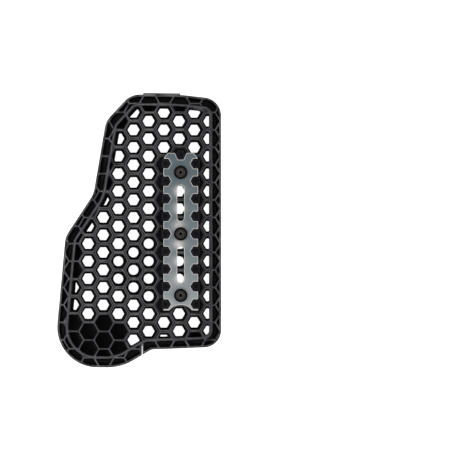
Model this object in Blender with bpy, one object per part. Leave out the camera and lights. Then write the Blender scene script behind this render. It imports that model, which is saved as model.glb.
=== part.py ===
"""Chest protector insert, one half: a moulded honeycomb shell, a notched plate and three screws.

The half lies on its back with its front face up. X runs across the chest, Y runs up the body and
+Z leaves the chest. The origin is under the middle of the outline, on the surface it rests on.
"""
import math
from collections import namedtuple

import bmesh
import bpy
from mathutils import Vector
from mathutils.geometry import delaunay_2d_cdt

MM = 0.001

# Overall size
WIDTH = 149.9 * MM
HEIGHT = 249.5 * MM
CORE_THICKNESS = 9.5 * MM
ARCH_RISE = 6.0 * MM
FOOT_WIDTH_LEFT = 12.4 * MM
FOOT_WIDTH_RIGHT = 8.4 * MM

# Rim band between the outline and the ridge
RIM_BAND = 9.3 * MM
RIM_DROP = 4.8 * MM
CORNER_RADIUS = 16.5 * MM
EDGE_CHAMFER = 0.6 * MM
EDGE_LAND = 1.7 * MM
RIDGE_WIDTH = 2.0 * MM
RIDGE_RAISE = 0.6 * MM
TAB_WIDTH = 33.8 * MM
TAB_REACH = 1.5 * MM
SLIT_WIDTH = 0.8 * MM
SLIT_DEPTH = 8.6 * MM
SLIT_WALL = 0.9 * MM

# Honeycomb
CELL_PITCH = 16.0 * MM
LATTICE_X = -4.35 * MM
LATTICE_Y = -4.4 * MM
OPEN_RIB = 2.3 * MM
CLOSED_RIB = 1.1 * MM
FUNNEL_WIDTH = 2.15 * MM
FUNNEL_DEPTH = 5.0 * MM
RIDGE_WALL = 2.2 * MM
RIDGE_WALL_SWING = 1.2 * MM
RIDGE_WALL_SIDE = (0.92, -0.38)
ROUND_HOLE = 9.0 * MM
POCKET_DEPTH = 4.6 * MM
POCKET_DRAFT = 0.9 * MM
POCKET_DISH = 0.5 * MM
BAND_POCKET_DEPTH = 2.6 * MM
DRAW_LEAN = math.tan(math.radians(9.8))

# Seat under the plate and the posts beside it
SEAT_RAISE = 2.6 * MM
SEAT_RAMP = 7.0 * MM
POST_FLATS = 7.8 * MM
POST_BACK = 3.4 * MM
POST_GROOVE = 0.8 * MM
TOUCH_GAP = 0.3 * MM

# Plate
PLATE_THICKNESS = 2.2 * MM
PLATE_EDGE = 1.9 * MM
PLATE_CORNER = 4.0 * MM
PLATE_CORNER_FILLET = 2.8 * MM
PLATE_TOP = 1.7 * MM
PLATE_LEG = 1.2 * MM
PLATE_ARC = 13.0 * MM
PLATE_ARC_DROP = 0.6 * MM
NOTCH_CLEARANCE = 0.55 * MM
PLATE_RISE = 1.0 * MM
SLOT_WIDTH = 6.4 * MM
SLOT_LENGTH = 32.6 * MM

# Screws
SCREW_SHANK = 5.0 * MM
SCREW_LENGTH = 12.0 * MM
SCREW_TIP = 0.6 * MM
SCREW_HEAD = 12.2 * MM
SCREW_FLANGE = 1.0 * MM
SCREW_BUTTON = 8.4 * MM
SCREW_HEAD_HEIGHT = 3.0 * MM
SCREW_SOCKET = 3.2 * MM
SCREW_SOCKET_DEPTH = 1.7 * MM
SCREW_EASE = 0.4 * MM
BORE_CLEARANCE = 0.35 * MM
BORE_RESERVE = 0.5 * MM
PILLAR_WALL = 3.4 * MM

# Fineness of curves, and what is too small to cut
ARC_STEP = math.radians(10.0)
LEAST_TURN = math.radians(2.0)
STRAIGHT_TURN = math.radians(3.0)
EDGE_STEP = 14.0 * MM
SMALL_EDGE = 0.6 * MM
SMALL_AREA = 9.0 * MM * MM
LEAST_OPENING = 3.0 * MM * MM
PARALLEL = math.sin(math.radians(0.5))
BORE_SIDES = 12
SCREW_SIDES = 18
WELD = 0.001 * MM
CUT_PRECISION = 0.0001 * MM
SLOT_END_FLAT = 0.02 * MM

# Corners of the outline, clockwise from the top left: place as shares of the overall width and
# height, fillet as a share of CORNER_RADIUS, and the band beside the edge that follows as a share
# of RIM_BAND.
Corner = namedtuple("Corner", "name across up fillet band")
OUTLINE = (
    Corner("top_left", 0.449, 1.000, 1.15, 0.98),
    Corner("top_middle", 0.763, 0.998, 2.20, 1.00),
    Corner("top_right", 0.999, 0.983, 1.00, 0.97),
    Corner("low_right", 1.000, 0.075, 0.96, 0.93),
    Corner("step", 0.575, 0.066, 0.45, 1.10),
    Corner("lobe", 0.392, 0.000, 2.80, 0.98),
    Corner("low_left", -0.025, 0.000, 2.22, 0.97),
    Corner("hip", 0.049, 0.479, 1.20, 0.98),
    Corner("waist", 0.221, 0.635, 1.45, 1.02),
    Corner("shoulder", 0.297, 0.902, 1.20, 0.99),
)
TAB_EDGE = "top_left"
TAB_PLACE = 0.40
SLIT_EDGE = "step"
SLIT_PLACE = 0.69

# Where each foot's inner edge starts and ends up the body, as shares of the height
FOOT_SPAN_LEFT = (-0.41, -0.06)
FOOT_SPAN_RIGHT = (-0.375, 0.41)

# Where an inner corner of the rim would lose its fillet, it keeps this share of it
LEAST_FILLET = 0.3
# Shares of the draft tried in turn on a narrow pocket
DRAFT_SHARES = (1.0, 0.4)

# Cells of the field, one string for each column from left to right and one letter for each row
# from the top down: o open, r open with a round hole, c closed, b post beside the plate,
# s screw pillar.
CHART = {
    "A": "........ccoocc.",
    "B": ".......oooooocc",
    "C": "....coooooooccc",
    "D": ".cooooooorroocc",
    "E": "oooooooorrrooo.",
    "F": "cooooooorrrroo.",
    "G": "ooobbbbbbbbboo.",
    "H": "coobsoooorrsoo.",
    "I": "ooobbbbbbbbboc.",
    "J": "cooooooooooooo.",
}
MIDDLE_COLUMN = "E"
MIDDLE_ROW = 7
SPARE_COLUMNS = 2
PLATE_COLUMN = "H"
SCREWS = {"plate_screw_top": 4.0, "plate_screw_middle": 7.5, "plate_screw_bottom": 11.0}
POST_ROW_TOP = 3
POST_ROW_LOW = 11

# Worked out from the sizes above
COLUMN_PITCH = CELL_PITCH * math.sqrt(3.0) / 2.0
BODY_CENTRE_Y = -TAB_REACH / 2.0
FOOT_LEFT = FOOT_WIDTH_LEFT - WIDTH / 2.0
FOOT_RIGHT = WIDTH / 2.0 - FOOT_WIDTH_RIGHT
BORE_RADIUS = SCREW_SHANK / 2.0 + BORE_CLEARANCE
PILLAR_RADIUS = BORE_RADIUS + PILLAR_WALL
FLAT_TO_CORNER = 1.0 / math.cos(math.radians(30.0))


def column_number(letter):
    return ord(letter) - ord("A")


def lattice_point(column, row):
    """Centre of a cell on the front land; every second column stands half a pitch higher."""
    steps = column - column_number(MIDDLE_COLUMN)
    rows = MIDDLE_ROW - row + 0.5 * (steps % 2)
    return Vector((LATTICE_X + steps * COLUMN_PITCH, LATTICE_Y + rows * CELL_PITCH))


def turned(vector):
    """The vector turned a quarter turn to the left."""
    return Vector((-vector.y, vector.x))


def crossing(start, along, other_start, other_along):
    """Where two straight lines meet."""
    share = other_along.cross(start - other_start) / along.cross(other_along)
    return start + along * share


def area(loop):
    return 0.5 * sum(loop[i - 1].cross(point) for i, point in enumerate(loop))


def circle(centre, radius, sides, turn=0.0):
    steps = [turn + 2.0 * math.pi * i / sides for i in range(sides)]
    return [centre + Vector((radius * math.cos(a), radius * math.sin(a))) for a in steps]


def hexagon(centre, inradius):
    return circle(centre, inradius * FLAT_TO_CORNER, 6)


def filleted(corners, radii):
    """A counter-clockwise loop with an arc in place of each sharp corner that has a radius."""
    loop = []
    for i, corner in enumerate(corners):
        before = (corner - corners[i - 1]).normalized()
        after = (corners[(i + 1) % len(corners)] - corner).normalized()
        turn = math.atan2(before.cross(after), before.dot(after))
        if radii[i] <= 0.0 or abs(turn) < LEAST_TURN:
            loop.append(corner)
            continue
        reach = radii[i] * math.tan(abs(turn) / 2.0)
        side = 1.0 if turn > 0.0 else -1.0
        start = corner - before * reach
        centre = start + turned(before) * radii[i] * side
        spoke = start - centre
        steps = max(1, round(abs(turn) / ARC_STEP))
        for step in range(steps + 1):
            angle = turn * step / steps
            loop.append(centre + spoke * math.cos(angle) + turned(spoke) * math.sin(angle))
    return loop


def subdivided(loop):
    """The loop with its long edges cut into equal steps."""
    result = []
    for i, point in enumerate(loop):
        after = loop[(i + 1) % len(loop)]
        steps = max(1, math.ceil((after - point).length / EDGE_STEP))
        result += [point.lerp(after, step / steps) for step in range(steps)]
    return result


def inset(loop, distance):
    """Every edge of a counter-clockwise loop moved inwards.

    The distance is a number, or a function of an edge's middle and its inward normal.
    """
    edges = []
    for i, corner in enumerate(loop):
        normal = turned((corner - loop[i - 1]).normalized())
        step = distance(corner.lerp(loop[i - 1], 0.5), normal) if callable(distance) else distance
        edges.append((normal, step))
    result = []
    for i, corner in enumerate(loop):
        (before, reach), (after, next_reach) = edges[i], edges[(i + 1) % len(edges)]
        turn = before.cross(after)
        if abs(turn) > math.sin(ARC_STEP):
            shift = (turned(after) * -reach + turned(before) * next_reach) / turn
        else:
            bisector = (before + after).normalized()
            shift = bisector * (reach + next_reach) / 2.0 / bisector.dot(before)
        result.append(corner + shift)
    return result


def apart(loop):
    """The loop without points that lie on the one before."""
    return [point for i, point in enumerate(loop) if (point - loop[i - 1]).length > WELD]


def narrowed(loop, distance):
    """The edges of a cell moved inwards, where an edge that shrinks to nothing closes up.

    It has as many points as the loop. None is returned where too little is left of the cell.
    """
    lines = []
    for i, corner in enumerate(loop):
        along = (corner - loop[i - 1]).normalized()
        normal = turned(along)
        lines.append((corner + normal * distance(corner.lerp(loop[i - 1], 0.5), normal), along))
    kept = list(range(len(loop)))
    while len(kept) > 2:
        pairs = [(lines[edge], lines[after]) for edge, after in zip(kept, kept[1:] + kept[:1])]
        if any(abs(line[1].cross(after[1])) < PARALLEL for line, after in pairs):
            return None
        ends = [crossing(*line, *after) for line, after in pairs]
        lengths = [(ends[k] - ends[k - 1]).dot(lines[edge][1]) for k, edge in enumerate(kept)]
        shortest = min(lengths)
        if shortest > SMALL_EDGE / 4.0:
            points = [ends[sum(1 for edge in kept if edge <= i) - 1] for i in range(len(loop))]
            return points if area(points) > LEAST_OPENING else None
        del kept[lengths.index(shortest)]
    return None


def pocket_floor(loop):
    """The floor of a pocket, with less draft where a narrow one would close; None if it still would."""
    floors = (narrowed(loop, lambda middle, normal: share * POCKET_DRAFT) for share in DRAFT_SHARES)
    return next((floor for floor in floors if floor), None)


def outline_corners():
    """Sharp corners of the outline, counter-clockwise, with their fillets and bands."""
    corners = []
    for corner in reversed(OUTLINE):
        place = Vector(((corner.across - 0.5) * WIDTH, (corner.up - 0.5) * HEIGHT + BODY_CENTRE_Y))
        corners.append((corner.name, place, corner.fillet * CORNER_RADIUS, corner.band * RIM_BAND))
    return corners


def ridge_corners(corners, shift):
    """Corners and fillets of the loop that runs one band inside the outline, moved out by shift."""
    lines = []
    for i, (_, place, _, band) in enumerate(corners):
        along = (place - corners[i - 1][1]).normalized()
        lines.append((place + turned(along) * (band - shift), along))
    points = []
    radii = []
    for i, (_, place, fillet, band) in enumerate(corners):
        line, following = lines[i], lines[(i + 1) % len(lines)]
        points.append(crossing(line[0], line[1], following[0], following[1]))
        convex = line[1].cross(following[1]) > 0.0
        inner = max(fillet - band + shift, LEAST_FILLET * fillet)
        radii.append(inner if convex else fillet + band - shift)
    return points, radii


def with_step(corners, edge, place, width, reach, direction=None):
    """The corner list with a step of the given width on one edge: out if reach is positive."""
    result = []
    for i, (name, point, fillet, band) in enumerate(corners):
        result.append((name, point, fillet, band))
        following = corners[(i + 1) % len(corners)]
        if following[0] != edge:
            continue
        along = (following[1] - point).normalized()
        out = direction or -turned(along)
        middle = point.lerp(following[1], place)
        for offset, height in ((-0.5, 0.0), (-0.5, reach), (0.5, reach), (0.5, 0.0)):
            result.append((None, middle + along * width * offset + out * height, 0.0, 0.0))
    return result


def rectangle_about(middle, half_width, half_height):
    signs = ((-1, -1), (1, -1), (1, 1), (-1, 1))
    return [middle + Vector((half_width * a, half_height * b)) for a, b in signs]


class Plan:
    """Every loop of the shell, seen from the front."""

    def __init__(self):
        corners = outline_corners()
        plain = filleted([c[1] for c in corners], [c[2] for c in corners])
        self.crest = subdivided(filleted(*ridge_corners(corners, 0.0)))
        self.ridge_inner = filleted(*ridge_corners(corners, -RIDGE_WIDTH / 2.0))
        self.ridge_outer = filleted(*ridge_corners(corners, RIDGE_WIDTH / 2.0))
        self.band_limit = inset(subdivided(plain), EDGE_LAND)
        stepped = with_step(corners, TAB_EDGE, TAB_PLACE, TAB_WIDTH, TAB_REACH)
        down = Vector((0.0, -1.0))
        stepped = with_step(stepped, SLIT_EDGE, SLIT_PLACE, SLIT_WIDTH, -SLIT_DEPTH, down)
        slit = [c[1] for c in stepped if c[0] is None and c[1].y < 0.0]
        self.outline = subdivided(filleted([c[1] for c in stepped], [c[2] for c in stepped]))
        slit_middle = sum(slit, Vector((0.0, 0.0))) / len(slit)
        self.slit_guard = rectangle_about(slit_middle, SLIT_WIDTH / 2.0 + SLIT_WALL, SLIT_DEPTH)
        screw_column = column_number(PLATE_COLUMN)
        self.screws = {name: plate_spot(screw_column, row) for name, row in SCREWS.items()}


def on_plan(loop, x, y):
    """Whether a point lies inside a loop, and how far it is from it."""
    inside = False
    nearest = math.inf
    point = Vector((x, y))
    for i, end in enumerate(loop):
        start = loop[i - 1]
        edge = end - start
        if (start.y > y) != (end.y > y) and x < start.x + (y - start.y) * edge.x / edge.y:
            inside = not inside
        share = min(max((point - start).dot(edge) / edge.length_squared, 0.0), 1.0)
        nearest = min(nearest, (point - start - edge * share).length)
    return inside, nearest


def back_height(x):
    """The underside: an arch between two flat feet."""
    middle = (FOOT_LEFT + FOOT_RIGHT) / 2.0
    half = (FOOT_RIGHT - FOOT_LEFT) / 2.0
    return ARCH_RISE * max(0.0, 1.0 - ((x - middle) / half) ** 2)


def plate_column_x():
    return lattice_point(column_number(PLATE_COLUMN), 0).x


def plate_offset():
    """How far the plate and the tops of the posts beside it stand off their cells."""
    return Vector((DRAW_LEAN * (SEAT_RAISE + TOUCH_GAP + PLATE_THICKNESS), PLATE_RISE))


def plate_spot(column, row):
    """The point of the plate's pattern that belongs to a cell."""
    return lattice_point(column, row) + plate_offset()


def plate_centre_x():
    return plate_column_x() + plate_offset().x


def seat_height():
    return back_height(plate_column_x()) + CORE_THICKNESS + SEAT_RAISE


def plate_box():
    """Lowest and highest corners of the plate, seen from the front."""
    column = column_number(PLATE_COLUMN)
    flat = POST_FLATS / 2.0 + NOTCH_CLEARANCE
    half_width = COLUMN_PITCH + PLATE_EDGE
    low = plate_spot(column - 1, POST_ROW_LOW).y - flat - PLATE_LEG
    high = plate_spot(column, POST_ROW_TOP).y + PLATE_TOP
    return Vector((plate_centre_x() - half_width, low)), Vector((plate_centre_x() + half_width, high))


class Heights:
    """Heights of the front land over the plan."""

    def __init__(self, plan):
        self.crest = plan.crest
        self.low, self.high = plate_box()
        self.seat = seat_height()

    def bare(self, x, y):
        """The land without the seat: the arch plus the core, falling away over the rim band."""
        inside, distance = on_plan(self.crest, x, y)
        drop = 0.0 if inside else RIM_DROP * distance / RIM_BAND
        return back_height(x) + CORE_THICKNESS - drop

    def land(self, x, y):
        """The land with the flat seat under the plate and the ramp round it."""
        outside_x = max(self.low.x - x, x - self.high.x, 0.0)
        outside_y = max(self.low.y - y, y - self.high.y, 0.0)
        share = max(0.0, 1.0 - math.hypot(outside_x, outside_y) / SEAT_RAMP)
        bare = self.bare(x, y)
        return bare + (self.seat - bare) * share


def boundary_loops(triangles):
    """Closed loops round a set of triangles."""
    edges = {(t[i], t[(i + 1) % 3]) for t in triangles for i in range(3)}
    following = {a: b for a, b in edges if (b, a) not in edges}
    loops = []
    while following:
        start = min(following)
        loop = [start]
        while following.get(loop[-1]) is not None:
            after = following.pop(loop[-1])
            if after == start:
                break
            loop.append(after)
        loops.append(loop)
    return loops


def tidied(loop):
    """The loop without points that nearly coincide or that lie on a straight line."""
    spread = []
    for point in loop:
        if not spread or (point - spread[-1]).length > SMALL_EDGE:
            spread.append(point)
    while len(spread) > 3 and (spread[0] - spread[-1]).length < SMALL_EDGE:
        spread.pop()
    result = []
    for i, point in enumerate(spread):
        before = point - spread[i - 1]
        after = spread[(i + 1) % len(spread)] - point
        if abs(before.cross(after)) > math.sin(STRAIGHT_TURN) * before.length * after.length:
            result.append(point)
    return result


def cut_out(outer, holes, shapes):
    """Each shape's loops where it lies inside outer and outside every one of holes."""
    polygons = [outer] + holes + shapes
    points = []
    faces = []
    for polygon in polygons:
        faces.append(list(range(len(points), len(points) + len(polygon))))
        points += polygon
    places, _, triangles, _, _, sources = delaunay_2d_cdt(points, [], faces, 0, CUT_PRECISION)
    first_shape = 1 + len(holes)
    groups = {}
    for triangle, source in zip(triangles, sources):
        if 0 not in source or any(0 < face < first_shape for face in source):
            continue
        for face in source:
            if face >= first_shape:
                groups.setdefault(face - first_shape, []).append(triangle)
    result = [[] for _ in shapes]
    for shape, group in groups.items():
        for loop in boundary_loops(group):
            loop = tidied([places[i].copy() for i in loop])
            if len(loop) > 2 and area(loop) > SMALL_AREA:
                result[shape].append(loop)
    return result


def plan_cells(plan):
    """Loops of every pocket on the front land, with the kind and the centre of its cell."""
    field = []
    band = []
    columns = list(CHART.values())
    rows = len(columns[0])
    for column in range(-SPARE_COLUMNS, len(columns) + SPARE_COLUMNS):
        for row in range(-1, rows + 1):
            centre = lattice_point(column, row)
            charted = 0 <= column < len(columns) and 0 <= row < rows
            kind = columns[column][row].replace(".", "c") if charted else "c"
            rib = OPEN_RIB if kind in "or" else CLOSED_RIB
            band.append(("band", centre, hexagon(centre, (CELL_PITCH - CLOSED_RIB) / 2.0)))
            if kind != "s":
                field.append((kind, centre, hexagon(centre, (CELL_PITCH - rib) / 2.0)))
    pillars = [circle(place, PILLAR_RADIUS, BORE_SIDES) for place in plan.screws.values()]
    posts = [cell for cell in field if cell[0] == "b"]
    others = [cell for cell in field if cell[0] != "b"]
    cells = []
    for outer, holes, group in (
        (plan.ridge_inner, [], posts),
        (plan.ridge_inner, pillars, others),
        (plan.band_limit, [plan.ridge_outer, plan.slit_guard], band),
    ):
        for (kind, centre, _), loops in zip(group, cut_out(outer, holes, [cell[2] for cell in group])):
            cells += [(kind, centre, loop) for loop in loops]
    return cells


class Skin:
    """Points and faces of one closed mesh, gathered piece by piece."""

    def __init__(self):
        self.points = []
        self.faces = []

    def add(self, points):
        first = len(self.points)
        self.points += points
        return list(range(first, len(self.points)))

    def sleeve(self, loops):
        """Faces between each loop and the next, which have as many points."""
        rings = [self.add(loop) for loop in loops]
        for lower, upper in zip(rings, rings[1:]):
            for i in range(len(lower)):
                self.faces.append((lower[i - 1], lower[i], upper[i], upper[i - 1]))
        return rings[-1]

    def cap(self, ring, lift=0.0):
        """A fan over the last loop, with its middle raised by lift."""
        middle = sum((self.points[i] for i in ring), Vector((0.0, 0.0, 0.0))) / len(ring)
        centre = self.add([middle + Vector((0.0, 0.0, lift))])[0]
        for i in range(len(ring)):
            self.faces.append((ring[i - 1], ring[i], centre))

    def sheet(self, outer, holes, height, chains=()):
        """A triangulated sheet over outer with holes left open; chains are edges it keeps."""
        points = []
        faces = []
        for loop in [outer] + holes:
            faces.append(list(range(len(points), len(points) + len(loop))))
            points += loop
        loop_points = len(points)
        edges = []
        for chain in chains:
            edges += [(len(points) + i, len(points) + i + 1) for i in range(len(chain) - 1)]
            points += chain
        found = delaunay_2d_cdt(points, edges, faces, 0, CUT_PRECISION)
        places, triangles, origins, sources = found[0], found[2], found[3], found[5]
        lifted = []
        for place, origin in zip(places, origins):
            on_chain = bool(origin) and min(origin) >= loop_points
            lifted.append(Vector((place.x, place.y, height(place.x, place.y, on_chain))))
        ring = self.add(lifted)
        for triangle, source in zip(triangles, sources):
            if list(source) == [0]:
                self.faces.append(tuple(ring[i] for i in triangle))

    def mesh(self, name, smooth_angle=math.radians(30.0)):
        """One closed mesh with its faces pointing out."""
        shape = bmesh.new()
        points = [shape.verts.new(point) for point in self.points]
        for face in self.faces:
            shape.faces.new([points[i] for i in face])
        bmesh.ops.remove_doubles(shape, verts=shape.verts, dist=WELD)
        loose = [vertex for vertex in shape.verts if not vertex.link_faces]
        bmesh.ops.delete(shape, geom=loose, context="VERTS")
        bmesh.ops.recalc_face_normals(shape, faces=shape.faces)
        mesh = bpy.data.meshes.new(name)
        shape.to_mesh(mesh)
        shape.free()
        mesh.shade_smooth()
        mesh.set_sharp_from_angle(angle=smooth_angle)
        return mesh


def raised(loop, height):
    """The loop's points at a height, which may be a number or a function of x and y."""
    if callable(height):
        return [Vector((p.x, p.y, height(p.x, p.y))) for p in loop]
    return [Vector((p.x, p.y, height)) for p in loop]


def moved(loop, x):
    return [Vector((p.x + x, p.y)) for p in loop]


def cut_hole(skin, kind, centre, loop, plan, heights):
    """An open cell: a funnel along the lean from the land to a lip, then a hole straight down.

    Where the ridge cuts the cell, its wall is widest on the side that RIDGE_WALL_SIDE names.
    Returns the loops on the land and on the back, or None where too little is left open.
    """
    lean = DRAW_LEAN * FUNNEL_DEPTH
    if kind == "r" and len(loop) == 6:
        loop = [p for i in range(6) for p in (loop[i], loop[i].lerp(loop[(i + 1) % 6], 0.5))]
        start = math.atan2(loop[0].y - centre.y, loop[0].x - centre.x)
        lip = moved(circle(centre, ROUND_HOLE / 2.0, len(loop), start), -lean)
    else:
        def wall(middle, normal):
            beside_ridge = on_plan(plan.ridge_inner, middle.x, middle.y)[1] < SMALL_EDGE / 4.0
            if beside_ridge:
                return RIDGE_WALL + RIDGE_WALL_SWING * normal.dot(Vector(RIDGE_WALL_SIDE))
            return FUNNEL_WIDTH - lean * normal.x

        lip = narrowed(loop, wall)
    if lip is None:
        return None
    rim = raised(loop, heights.land)
    throat = raised(lip, lambda x, y: heights.bare(x, y) - FUNNEL_DEPTH)
    skin.sleeve([rim, throat, raised(lip, lambda x, y: back_height(x))])
    return loop, apart(lip)


def sink_pocket(skin, kind, loop, heights):
    """A closed cell: a drafted wall down to a dished floor."""
    floor = pocket_floor(loop)
    if floor is None:
        return None
    depth = BAND_POCKET_DEPTH if kind == "band" else POCKET_DEPTH
    bottom = raised(floor, lambda x, y: heights.bare(x, y) - depth)
    skin.cap(skin.sleeve([raised(loop, heights.land), bottom]), -POCKET_DISH)
    return loop


def post_loop(centre, side):
    """Top of a post: a hexagon; side is 1 or -1 where the side away from the plate is squared off."""
    loop = hexagon(centre, POST_FLATS / 2.0)
    for point in loop:
        if (point.x - centre.x) * side > WELD:
            point.x = centre.x + side * POST_BACK
    return loop


def raise_post(skin, centre, loop, heights):
    """A cell beside the plate: a groove inside its walls and a post as high as the plate."""
    side = round((centre.x - plate_column_x()) / COLUMN_PITCH)
    top_height = heights.seat + TOUCH_GAP + PLATE_THICKNESS
    top = post_loop(centre + plate_offset(), side)
    groove = inset(loop, POST_GROOVE)
    ring = skin.sleeve([
        raised(loop, heights.land),
        raised(groove, lambda x, y: heights.land(x, y) - POST_GROOVE),
        raised(top, heights.seat - TOUCH_GAP),
        raised(top, top_height),
    ])
    skin.cap(ring)
    return loop


def sink_bore(skin, place, heights):
    """A blind bore for a screw."""
    loop = circle(place, BORE_RADIUS, BORE_SIDES)
    floor = screw_seat(heights.seat) - SCREW_LENGTH - BORE_RESERVE
    skin.cap(skin.sleeve([raised(loop, heights.land), raised(loop, floor)]))
    return loop


def screw_seat(seat):
    """Height of the underside of the screw heads."""
    return seat + TOUCH_GAP + PLATE_THICKNESS + TOUCH_GAP


def shell_mesh(plan, heights):
    skin = Skin()
    land_holes = []
    back_holes = []
    for kind, centre, loop in plan_cells(plan):
        opened = kind in "or" and cut_hole(skin, kind, centre, loop, plan, heights)
        if opened:
            land_holes.append(opened[0])
            back_holes.append(opened[1])
        elif kind == "b" and len(loop) == 6:
            land_holes.append(raise_post(skin, centre, loop, heights))
        else:
            pocket = sink_pocket(skin, kind, loop, heights)
            if pocket:
                land_holes.append(pocket)
    for spot in plan.screws.values():
        land_holes.append(sink_bore(skin, spot, heights))
    edge = inset(plan.outline, EDGE_CHAMFER)
    crest = plan.crest + plan.crest[:1]
    skin.sheet(edge, land_holes, lambda x, y, top: heights.land(x, y) + top * RIDGE_RAISE, [crest])
    feet = [
        [Vector((FOOT_LEFT, share * HEIGHT)) for share in FOOT_SPAN_LEFT],
        [Vector((FOOT_RIGHT, share * HEIGHT)) for share in FOOT_SPAN_RIGHT],
    ]
    skin.sheet(plan.outline, back_holes, lambda x, y, foot: back_height(x), feet)
    skin.sleeve([
        raised(edge, heights.land),
        raised(plan.outline, lambda x, y: heights.land(x, y) - EDGE_CHAMFER),
        raised(plan.outline, lambda x, y: back_height(x)),
    ])
    return skin.mesh("honeycomb_shell")


def plate_loops():
    """The plate's outline and its holes about its centre line, in world coordinates."""
    column = column_number(PLATE_COLUMN)
    low, high = plate_box()
    axis = plate_centre_x()
    flat = POST_FLATS / 2.0 + NOTCH_CLEARANCE
    radius = flat * FLAT_TO_CORNER
    half_width = high.x - axis
    right = []
    for row in range(POST_ROW_LOW, POST_ROW_TOP - 1, -1):
        y = plate_spot(column + 1, row).y
        x = COLUMN_PITCH
        right += [
            (half_width, y - flat),
            (x - radius / 2.0, y - flat),
            (x - radius, y),
            (x - radius / 2.0, y + flat),
            (half_width, y + flat),
        ]
    right += [(half_width - PLATE_CORNER, high.y)]
    notch_y = plate_spot(column, POST_ROW_TOP).y - flat
    right += [(radius + TOUCH_GAP, high.y), (radius / 2.0, notch_y)]
    arc_y = plate_spot(column + 1, POST_ROW_LOW).y - PLATE_ARC_DROP - PLATE_ARC
    start = math.asin((low.y - arc_y) / PLATE_ARC)
    steps = math.ceil((math.pi / 2.0 - start) / ARC_STEP)
    angles = [math.pi / 2.0 + (start - math.pi / 2.0) * i / steps for i in range(steps + 1)]
    arc = [(PLATE_ARC * math.cos(a), arc_y + PLATE_ARC * math.sin(a)) for a in angles]
    half = arc[1:] + [(half_width, low.y)] + right
    mirrored = [(-x, y) for x, y in reversed(half)]
    places = arc[:1] + half + mirrored
    corner_x = half_width - PLATE_CORNER
    radii = [PLATE_CORNER_FILLET if abs(abs(x) - corner_x) < WELD else 0.0 for x, _ in places]
    outline = filleted([Vector((axis + x, y)) for x, y in places], radii)
    rows = sorted(SCREWS.values())
    spots = [plate_spot(column, row) for row in rows]
    holes = [circle(spot, BORE_RADIUS, BORE_SIDES) for spot in spots]
    for above, below in zip(spots, spots[1:]):
        slot = rectangle_about(above.lerp(below, 0.5), SLOT_WIDTH / 2.0, SLOT_LENGTH / 2.0)
        holes.append(filleted(slot, [(SLOT_WIDTH - SLOT_END_FLAT) / 2.0] * len(slot)))
    return outline, holes


def plate_mesh(heights):
    outline, holes = plate_loops()
    bottom = heights.seat + TOUCH_GAP
    top = bottom + PLATE_THICKNESS
    skin = Skin()
    skin.sheet(outline, holes, lambda x, y, chain: top)
    skin.sheet(outline, holes, lambda x, y, chain: bottom)
    for loop in [outline] + holes:
        skin.sleeve([raised(loop, top), raised(loop, bottom)])
    return skin.mesh("centre_plate")


def hexagon_ring(flats, sides):
    """Points round a hexagon at equal turns."""
    points = []
    for i in range(sides):
        angle = 2.0 * math.pi * i / sides
        from_flat = (angle % math.radians(60.0)) - math.radians(30.0)
        reach = flats / 2.0 / math.cos(from_flat)
        points.append(Vector((reach * math.cos(angle), reach * math.sin(angle))))
    return points


def screw_mesh():
    """A flanged button-head screw, its origin under the head on its own axis."""
    axis = Vector((0.0, 0.0))
    socket = hexagon_ring(SCREW_SOCKET, SCREW_SIDES)
    head, button, shank = SCREW_HEAD / 2.0, SCREW_BUTTON / 2.0, SCREW_SHANK / 2.0
    rings = [raised(socket, SCREW_HEAD_HEIGHT - SCREW_SOCKET_DEPTH), raised(socket, SCREW_HEAD_HEIGHT)]
    for radius, height in (
        (SCREW_SOCKET / 2.0 + 2.0 * SCREW_EASE, SCREW_HEAD_HEIGHT),
        (button - SCREW_EASE, SCREW_HEAD_HEIGHT - SCREW_EASE),
        (button, SCREW_FLANGE + SCREW_EASE),
        (button + SCREW_EASE / 2.0, SCREW_FLANGE),
        (head - SCREW_EASE, SCREW_FLANGE),
        (head, SCREW_FLANGE - SCREW_EASE),
        (head, 0.0),
        (shank, 0.0),
        (shank, SCREW_TIP - SCREW_LENGTH),
        (shank - SCREW_TIP, -SCREW_LENGTH),
    ):
        rings.append(raised(circle(axis, radius, SCREW_SIDES), height))
    skin = Skin()
    last = skin.sleeve(rings)
    skin.cap(last)
    skin.cap(list(range(SCREW_SIDES)))
    return skin.mesh("plate_screw")


def material(name, colour, roughness, metallic=0.0, transmission=0.0):
    finish = bpy.data.materials.new(name)
    finish.use_nodes = True
    shader = finish.node_tree.nodes["Principled BSDF"]
    shader.inputs["Base Color"].default_value = (*colour, 1.0)
    shader.inputs["Roughness"].default_value = roughness
    shader.inputs["Metallic"].default_value = metallic
    shader.inputs["Transmission Weight"].default_value = transmission
    return finish


def place(name, mesh, finish, parent, location=(0.0, 0.0, 0.0)):
    piece = bpy.data.objects.new(name, mesh)
    bpy.context.scene.collection.objects.link(piece)
    piece.parent = parent
    piece.location = location
    if finish.name not in mesh.materials:
        mesh.materials.append(finish)
    return piece


def build():
    for item in list(bpy.data.objects):
        bpy.data.objects.remove(item, do_unlink=True)
    protector = bpy.data.objects.new("protector", None)
    bpy.context.scene.collection.objects.link(protector)
    black = material("shell_black", (0.012, 0.012, 0.013), 0.45)
    clear = material("plate_clear", (0.36, 0.43, 0.45), 0.35, transmission=0.4)
    steel = material("screw_black", (0.02, 0.02, 0.02), 0.4, metallic=0.6)

    plan = Plan()
    heights = Heights(plan)
    place("honeycomb_shell", shell_mesh(plan, heights), black, protector)
    place("centre_plate", plate_mesh(heights), clear, protector)
    screw = screw_mesh()
    for name, spot in plan.screws.items():
        location = (spot.x, spot.y, screw_seat(heights.seat))
        place(name, screw, steel, protector, location)


build()
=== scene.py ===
"""Looks of the chest protector insert: finer pieces, their finishes, floor, light and camera."""
import math
from collections import namedtuple

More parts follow.
